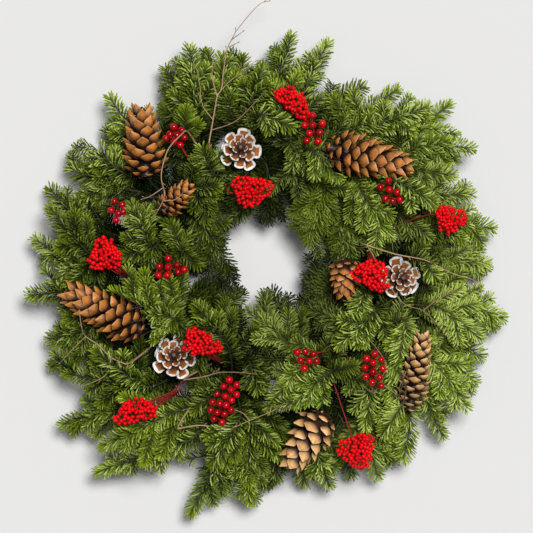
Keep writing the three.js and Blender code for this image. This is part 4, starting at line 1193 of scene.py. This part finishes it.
def lathe(name, profile, sides, crown_from=NO_CROWN):
    """A closed ball from (radius, height) rings; `crown` is 1 on the rings past crown_from."""
    points, faces, crown = [(0, 0, profile[0][1])], [], [0.0]
    for n, (radius, height) in enumerate(profile[1:-1], 1):
        for k in range(sides):
            turn = 2 * math.pi * k / sides
            spread = 1 + (0.25 * math.cos(5 * turn) if n == crown_from else 0)
            points.append((radius * spread * math.cos(turn), radius * spread * math.sin(turn), height))
            crown.append(1.0 if n >= crown_from else 0.0)
    points.append((0, 0, profile[-1][1]))
    crown.append(1.0)
    last, rings = len(points) - 1, len(profile) - 2
    for k in range(sides):
        n = (k + 1) % sides
        faces.append((0, 1 + n, 1 + k))
        for r in range(rings - 1):
            a, b = 1 + r * sides, 1 + (r + 1) * sides
            faces.append((a + k, a + n, b + n, b + k))
        top = 1 + (rings - 1) * sides
        faces.append((last, top + k, top + n))
    made = shape_of(name, points, faces, crown=crown)
    made.data.polygons.foreach_set("use_smooth", [True] * len(faces))
    return made


def ball_rings(steps, squash):
    return [(math.sin(math.pi * i / steps), -squash * math.cos(math.pi * i / steps)) for i in range(steps)]


GLOSSY = lathe("glossy_berry", ball_rings(9, 0.95) + [(0.17, 0.93), (0.10, 0.97), (0.0, 0.90)], 14, 10)
PEPPER = lathe("pepperberry", ball_rings(6, 0.97) + [(0.0, 0.93)], 8)
BUD = lathe("bud", [(0, -1.2), (0.8, -0.5), (1.0, 0.3), (0.5, 1.4), (0.0, 2.1)], 5)
print("faces of the berries and the bud:", [len(shape.data.polygons) for shape in (GLOSSY, PEPPER, BUD)])

# %% Berry and twig finishes
def paint_crown(tree, colour):
    return blend(tree, attribute(tree, "crown"), colour, (0.012, 0.006, 0.004))


BERRY = {"blotch": 3, "strength": 0.5, "grain": 0.7, "bump": (0.08, 0.05), "paint": paint_crown,
         "Specular_IOR_Level": 0.2, "Coat_Roughness": 0.08}
GLOSSY_SKIN = finish("glossy_berry_skin", dark=(0.26, 0.000, 0.003), light=(0.56, 0.001, 0.007),
                     rough=(0.2, 0.28), Coat_Weight=0.35, **BERRY)
PEPPER_SKIN = finish("pepperberry_skin", dark=(0.55, 0.000, 0.003), light=(0.95, 0.001, 0.006),
                     rough=(0.4, 0.55), Coat_Weight=0.0, **BERRY)
RED_STEM = finish("berry_stem", dark=(0.13, 0.008, 0.006), light=(0.42, 0.018, 0.014), blotch=6, strength=0.4,
                  grain=0.6, rough=(0.5, 0.7), bump=(0.4, 0.1))
TWIG_BARK = finish("twig_bark", dark=(0.16, 0.09, 0.045), light=(0.48, 0.32, 0.18), blotch=7, strength=0.6,
                   grain=0.8, rough=(0.55, 0.85), bump=(0.8, 0.25))


# %% Sprays of glossy berries
def nearest_on(line, spot):
    places = [a.lerp(b, i / 10) for a, b in zip(line, line[1:]) for i in range(11)]
    return min(places, key=lambda place: (place - spot).length)


def berry_stem(stalk, centre, radius, size):
    """A bent stem from the stalk to a berry, with the berry's size on its last point."""
    root = nearest_on(stalk, centre)
    middle = root.lerp(centre, 0.5) + UP * (centre - root).length * 0.12
    return line_of([root, middle, centre], radius, tint=rng.random(), fruit=[0.0, 0.0, size])


def stalk_lines(spray, radius):
    return [line_of(spray["stalk"] + spray["wire"][1:], radius, tint=rng.uniform(0.3, 0.7))]


for name, berries in GLOSSY_BERRIES.items():
    node = f"glossy_berries_{name}"
    stalk = sprays[node]["stalk"]
    lines = stalk_lines(sprays[node], (1.0 * MM, STALK))
    for x, y in berries:
        centre = plan(x, y)
        centre.z = stalk[0].z + rng.uniform(11, 17) * MM
        lines.append(berry_stem(stalk, centre, (0.7 * MM, 0.45 * MM), rng.uniform(4.2, 4.9) * MM))
    grow_spray(node, "_spray", lines, GLOSSY, GLOSSY_SKIN, RED_STEM)
print("glossy berries:", sum(len(b) for b in GLOSSY_BERRIES.values()))

# %% Sprays of small berries
PEPPER_GAP = 3.6 * MM
BERRIES_PER_AREA = 0.055
TRIES = 5000
BUNDLE_STEMS = 7


def pepper_places(name, level):
    """Berry places in a domed cluster, none closer to another than the gap."""
    x, y, half, wide, turn = PEPPER_CLUSTERS[name]
    spin, places = Matrix.Rotation(math.radians(turn), 3, "Z"), []
    for _ in range(TRIES):
        angle = rng.uniform(0, 2 * math.pi)
        out = math.sqrt(rng.random()) * (0.94 + 0.16 * math.sin(3 * angle + x))
        spot = spin @ Vector((math.cos(angle) * half, math.sin(angle) * wide, 0)) * out * MM
        spot.z = level + (14 - 8 * out * out + rng.uniform(-3, 2)) * MM
        spot += plan(x, y)
        if all((spot - p).length > PEPPER_GAP for p in places):
            places.append(spot)
        if len(places) >= BERRIES_PER_AREA * math.pi * half * wide:
            break
    return places


def bundle_lines(name, level):
    """Thin red stems that run side by side out of a cluster and dip under the needles."""
    if name not in RED_BUNDLES:
        return []
    x0, y0, x1, y1 = RED_BUNDLES[name]
    start, end = plan(x0, y0), plan(x1, y1)
    side, grown = (end - start).cross(UP).normalized(), []
    for i in range(BUNDLE_STEMS):
        spread = (i - 3) / 3 + rng.uniform(-0.12, 0.12)
        first = start + side * spread * 7 * MM + UP * (level + rng.uniform(2, 9) * MM)
        last = end + side * spread * 2.5 * MM + UP * (level - 26 * MM)
        last += (end - start) * rng.uniform(-0.2, 0.0)
        neck = first.lerp(last, 0.7) + UP * rng.uniform(11, 14) * MM
        path = [first, first.lerp(neck, 0.5) + UP * rng.uniform(-1, 2) * MM, neck, last]
        grown.append(line_of(path, (0.45 * MM, 0.5 * MM), tint=rng.uniform(-0.2, 1.3)))
    return grown


small_berries = 0
for name in PEPPER_STALKS:
    node = f"pepperberries_{name}"
    stalk = sprays[node]["stalk"]
    lines = stalk_lines(sprays[node], (0.9 * MM, STALK)) + bundle_lines(name, stalk[0].z)
    places = pepper_places(name, stalk[0].z)
    for centre in places:
        lines.append(berry_stem(stalk, centre, (0.6 * MM, 0.35 * MM), rng.uniform(2.4, 2.9) * MM))
    grow_spray(node, "_spray", lines, PEPPER, PEPPER_SKIN, RED_STEM, sides=4)
    small_berries += len(places)
print("small berries:", small_berries)


# %% Twigs
def rounded(line, steps=4):
    """A smooth curve through the points of a line."""
    points = []
    ends = [line[0] * 2 - line[1]] + line + [line[-1] * 2 - line[-2]]
    for a, b, c, d in zip(ends, ends[1:], ends[2:], ends[3:]):
        for i in range(steps):
            t = i / steps
            points.append(0.5 * (2 * b + (c - a) * t + (2 * a - 5 * b + 4 * c - d) * t * t
                                 + (3 * b - a - 3 * c + d) * t ** 3))
    return points + [line[-1]]


for node, twig in twigs.items():
    lines = [line_of(twig["wire"], (TWIG_STEM, TWIG_STEM), tint=0.4)]
    for n, line in enumerate(twig["lines"]):
        thick = 0.95 * MM if n == 0 else 0.7 * MM
        path = rounded(line)
        end_bud = [0.0] * (len(path) - 1) + [0.9 * MM]
        lines.append(line_of(path, (thick, thick * 0.4), tint=rng.uniform(0.3, 0.8), fruit=end_bud))
        for i in range(6, len(path) - 2, 7):
            ahead = (path[i + 1] - path[i]).normalized()
            out = Matrix.Rotation(rng.choice((-1, 1)) * 0.7, 3, "Z") @ ahead
            spur = [path[i], path[i] + out * 2 * MM, path[i] + out * 4 * MM + UP * MM]
            lines.append(line_of(spur, (thick * 0.6, thick * 0.3), tint=0.5, fruit=[0.0, 0.0, 0.8 * MM]))
    grow_spray(node, "_branched", lines, BUD, TWIG_BARK, TWIG_BARK)
print("twigs:", len(twigs))

# %% [markdown]
# ## Cones
#
# A cone's scales stand on a spiral, each one turned by the golden angle from the last.
# One scale is a cupped wedge, narrow at its root and thick at its lip. The tree puts it
# on the axis again and again, open at the base and closed towards the tip, and makes it
# as long as the cone's outline asks there. Carving a solid would be far slower and would
# leave no dark gaps between the scales.

# %% One cone scale
def make_scale(name, outline, thickness, ridge, cup):
    """A closed scale along +Y, one unit long; +Z is the side that looks to the cone's tip.

    outline gives (distance from the root, half width); the ridge runs down the outer side."""
    points, along, rim, faces = [], [], [], []
    rows, columns = len(outline), 5
    for side in (1, -1):
        for t, half in outline:
            swell = max(0.0, t - 0.35) / 0.65
            thick = thickness * (0.25 + 0.75 * math.sin(min(1.0, swell * 1.15) * math.pi * 0.85))
            for c in range(columns):
                x = (c / (columns - 1) - 0.5) * 2
                rise = cup * (x * x * half - 0.35 * math.sin(math.pi * t) + 0.25 * t * t)
                keel = ridge * (1 - abs(x)) * swell if side < 0 else 0.0
                edge = 0.35 if abs(x) == 1 else 1.0
                points.append((x * half, t, rise + side * thick * edge - keel))
                along.append(t)
                rim.append(1.0 if t > 0.9 or (abs(x) == 1 and t > 0.6) else 0.0)

    def at(side, r, c):
        return side * rows * columns + r * columns + c

    end, last = columns - 1, rows - 1
    for r in range(last):
        for c in range(end):
            faces.append((at(0, r, c), at(0, r, c + 1), at(0, r + 1, c + 1), at(0, r + 1, c)))
            faces.append((at(1, r, c), at(1, r + 1, c), at(1, r + 1, c + 1), at(1, r, c + 1)))
        faces.append((at(0, r, 0), at(0, r + 1, 0), at(1, r + 1, 0), at(1, r, 0)))
        faces.append((at(0, r + 1, end), at(0, r, end), at(1, r, end), at(1, r + 1, end)))
    for c in range(end):
        faces.append((at(0, 0, c + 1), at(0, 0, c), at(1, 0, c), at(1, 0, c + 1)))
        faces.append((at(0, last, c), at(0, last, c + 1), at(1, last, c + 1), at(1, last, c)))
    return shape_of(name, points, faces, along=along, rim=rim)


WEDGE = [(0.0, 0.10), (0.28, 0.18), (0.48, 0.34), (0.62, 0.45), (0.74, 0.42), (0.88, 0.22), (1.0, 0.03)]
PETAL = [(0.0, 0.12), (0.3, 0.22), (0.5, 0.36), (0.66, 0.45), (0.82, 0.48), (0.94, 0.42), (1.0, 0.24)]
SCALE = make_scale("wedge_scale", WEDGE, 0.009, 0.018, 0.35)
ROUND_SCALE = make_scale("petal_scale", PETAL, 0.045, 0.0, 0.45)
print("faces of one scale:", len(SCALE.data.polygons))

# %% Cone finishes
FROST = (0.97, 0.97, 0.96)


def make_cone_finish(name, root, middle, lip, shade, frosted=False):
    """Painted shade towards the root of each scale, where the scales cover each other, over a root that is
    also darker of its own, and a lighter lip; shade is where along a scale the dark starts and ends.
    """
    def paint(tree, colour):
        rim = attribute(tree, "rim")
        colour = blend(tree, ramp(rim, 0.5, 1.0) * 0.5, colour, lip)
        # Painted shade: each scale darkens towards its root, where the scales cover each other.
        colour = blend(tree, ramp(attribute(tree, "along"), *shade), colour, root)
        if not frosted:
            return colour
        grit = step(tree, "ShaderNodeGroup", {"Grain size": 2.2 * MM}, node_tree=FINE_GRAIN)
        return blend(tree, ramp(rim + (grit - 0.5) * 0.7, 0.20, 0.36), colour, FROST)

    return finish(name, dark=[c * 0.42 for c in middle], light=middle, blotch=5, strength=0.5, grain=0.9,
                  rough=(0.38, 0.65), bump=(0.5, 0.25), paint=paint)


BROWN_SCALES = make_cone_finish("cone_scale_brown", (0.030, 0.011, 0.008), (0.60, 0.21, 0.035),
                                (0.80, 0.40, 0.12), (0.80, 0.55))
PALE_SCALES = make_cone_finish("cone_scale_pale", (0.045, 0.018, 0.014), (0.86, 0.47, 0.17),
                               (0.95, 0.70, 0.40), (0.80, 0.55))
FROSTED_SCALES = make_cone_finish("cone_scale_frosted", (0.05, 0.016, 0.005), (0.47, 0.155, 0.03),
                                  (0.50, 0.20, 0.06), (0.70, 0.30), frosted=True)


# %% The tree that builds a cone
def make_cone_tree():
    tree, takes = new_tree("build_cone", "Geometry", [
        ("Lines", "Geometry"), ("Scale shape", "Object"), ("Base", "Vector"), ("Tip", "Vector"),
        ("Width", "Float", 58 * MM), ("Scales", "Int", 80), ("Open base", "Float", math.radians(84)),
        ("Open tip", "Float", math.radians(26)), ("End width", "Float", 0.36), ("Taper", "Float", 0.5),
        ("Scale width", "Float", 0.68), ("Seed", "Int", 1), ("Scale finish", "Material"),
        ("Wire finish", "Material")], ("Cone", "Geometry"))
    base, count, width, end = (takes[title] for title in ("Base", "Scales", "Width", "End width"))
    seed, index = takes["Seed"], geo(tree, "InputIndex")
    axis = takes["Tip"] - base
    length, ahead = apply("LENGTH", axis), apply("NORMALIZE", axis)
    sideways = apply("NORMALIZE", apply("CROSS_PRODUCT", ahead, (0.31, 0.2, 0.93)))
    # The cone's outline: it widens from the base, then tapers to its end.
    share = (index + 0.5) / count
    rise = apply("SQRT", share / 0.22)
    fall = end + (1.0 - end) * apply("MAXIMUM", (1.0 - share) / 0.72, 0.0) ** takes["Taper"]
    outline = width * 0.5 * apply("MINIMUM", apply("MINIMUM", rise, fall), 1.0)
    # One scale: how far it opens, how long it is and where its root stands.
    opened = ramp(share, 0.0, 1.0, takes["Open base"], takes["Open tip"]) + chance(tree, -0.1, 0.1, seed)
    core = outline * 0.16
    size = (outline - core) / apply("SINE", opened)
    height = share * length - size * apply("COSINE", opened)
    height = apply("MAXIMUM", height, share * (length * 0.3))
    out = rotated(sideways, ahead, index * GOLDEN_ANGLE)
    way = out * apply("SINE", opened) + ahead * apply("COSINE", opened)
    points = geo(tree, "Points", {"Count": count, "Position": base + (ahead * height + out * core)})
    points = stored(points, "tint", chance(tree, 0.35, 1.0, seed + 3))
    wide = takes["Scale width"] * (outline * 0.7 + width * 0.12) * chance(tree, 0.9, 1.1, seed + 5)
    scales = repeated(points, takes["Scale shape"], facing(way, ahead),
                      xyz(tree, wide, size, apply("MAXIMUM", size, wide)), takes["Scale finish"])
    wire = painted(smoothed(swept(geo(tree, "MeshToCurve", {0: takes["Lines"]}), 8)), takes["Wire finish"])
    pith = number(tree, "leafy") > 0.5
    wire = geo(tree, "SetMaterial", {"Geometry": wire, "Selection": pith, "Material": takes["Scale finish"]})
    return given(joined(scales, wire))


BUILD_CONE = make_cone_tree()
print("nodes in the tree of the cones:", len(BUILD_CONE.nodes))
WIRE = finish("green_wire", dark=(0.012, 0.035, 0.018), light=(0.035, 0.085, 0.045), blotch=20, strength=0.5,
              grain=1.2, rough=(0.3, 0.6), bump=(0.3, 0.1), Metallic=0.6)

# %% Build the cones
PALE_CONES = ("pine_cone_lower_right", "pine_cone_bottom")
SCALE_PITCH = 1.7 * MM  # of the axis for each scale of a cone 58 mm wide
FROSTED_FORM = {"Scales": 22, "Open base": math.radians(94), "Open tip": math.radians(48), "End width": 0.24,
                "Taper": 0.85, "Scale width": 0.66}

for seed, (node, cone) in enumerate(cones.items()):
    base, tip, width = cone["base"], cone["tip"], cone["width"]
    length, core = (tip - base).length, width * 0.11
    rod = [base + (tip - base).normalized() * length * t for t in (0.03, 0.3, 0.7, 0.93)]
    lines = [line_of(cone["wire"], (CONE_WIRE, CONE_WIRE), tint=0.5),
             line_of(rod, (core, core * 0.35), tint=0.2, leafy=1.0)]
    count = round(length / (SCALE_PITCH * max(0.7, width / (58 * MM))))
    form = {"Scale shape": SCALE, "Scale finish": BROWN_SCALES, "Scales": count}
    if node in PALE_CONES:
        form.update({"Scale finish": PALE_SCALES, "Scales": round(0.78 * count), "Scale width": 0.80})
    if node.startswith("frosted"):
        form.update({"Scale shape": ROUND_SCALE, "Scale finish": FROSTED_SCALES, **FROSTED_FORM})
    piece = run_tree(node + "_scales", mesh_of(node, lines), BUILD_CONE, {
        "Base": base, "Tip": tip, "Width": width * 1.05, "Seed": seed, "Wire finish": WIRE, **form})
    hand_over(piece, node)
print("cones:", len(cones))

# %% [markdown]
# ## The clamp ring
#
# Two wire hoops with sixteen clamps across them carry everything. The ring is hidden from
# the front, but it is what you see from the back. The hoops are smooth sweeps here, and
# the one clamp wire is bent once and repeated round the ring by the tree.

# %% The ring
BAR_LEVEL = 3.64 * MM
PRONG_LEVEL = 16.5 * MM
PRONG_REACH = 11 * MM
CORNER = 1.5 * MM
CLAMP_WIRE = 1.25 * MM
HOOP_WIRE = RING_WIRE * 0.93


def make_ring_tree():
    tree, takes = new_tree("build_ring", "Geometry", [
        ("Lines", "Geometry"), ("Clamps", "Int", CLAMPS), ("First clamp", "Float", FIRST_CLAMP),
        ("Middle", "Vector"), ("Inner radius", "Float", RING_INNER), ("Outer radius", "Float", RING_OUTER),
        ("Hoop wire", "Float", HOOP_WIRE), ("Finish", "Material")], ("Ring", "Geometry"))
    parts = []
    for radius in (takes["Inner radius"], takes["Outer radius"]):
        section = circle(tree, 10, takes["Hoop wire"])
        hoop = geo(tree, "CurveToMesh", {0: circle(tree, 120, radius), 1: section})
        parts.append(geo(tree, "Transform", {
            "Geometry": hoop, "Translation": takes["Middle"] + (0, 0, HOOP_WIRE)}))
    clamp = swept(geo(tree, "MeshToCurve", {0: takes["Lines"]}), 8)
    turn = takes["First clamp"] - geo(tree, "InputIndex") * (2 * math.pi / CLAMPS)
    points = geo(tree, "Points", {"Count": takes["Clamps"], "Position": takes["Middle"]})
    parts.append(geo(tree, "InstanceOnPoints", {
        "Points": points, "Instance": clamp, "Rotation": xyz(tree, 0.0, 0.0, turn)}))
    return given(painted(smoothed(joined(*parts)), takes["Finish"]))


# One end of the clamp wire, over the outer hoop: distance outwards from the hoop, and height.
prong = [(0.0, BAR_LEVEL + CORNER), (0.0, PRONG_LEVEL - CORNER), (-2 * MM, PRONG_LEVEL + 0.2 * MM),
         (-PRONG_REACH, PRONG_LEVEL + 0.6 * MM)]
bend = [(RING_INNER - out, z) for out, z in reversed(prong)]
bend += [(RING_INNER + CORNER, BAR_LEVEL), (RING_OUTER - CORNER, BAR_LEVEL)]
bend += [(RING_OUTER + out, z) for out, z in prong]
clamp_line = line_of([Vector((x, 0, z)) for x, z in bend], (CLAMP_WIRE, CLAMP_WIRE), tint=0.5)
ring = run_tree("ring_of_wire", mesh_of("clamp", [clamp_line]), make_ring_tree(), {
    "Middle": RING_MIDDLE, "Finish": WIRE})
print("triangles of the ring:", hand_over(ring, "ring"))

# %% [markdown]
# ## The floor
#
# A plain pale sheet, far larger than the wreath, so that its edge is never in view.

# %% Floor
FLOOR_REACH = 3.0
corners = [(-FLOOR_REACH, -FLOOR_REACH, 0), (FLOOR_REACH, -FLOOR_REACH, 0), (FLOOR_REACH, FLOOR_REACH, 0),
           (-FLOOR_REACH, FLOOR_REACH, 0)]
floor = shape_of("floor", corners, [(0, 1, 2, 3)])
floor.data.materials.append(finish("pale_floor", dark=(0.665, 0.670, 0.685), light=(0.70, 0.705, 0.72),
                                   blotch=200, strength=0.3, grain=1.5, rough=(0.7, 0.9), bump=(0.05, 0.05)))
scene.collection.objects.link(floor)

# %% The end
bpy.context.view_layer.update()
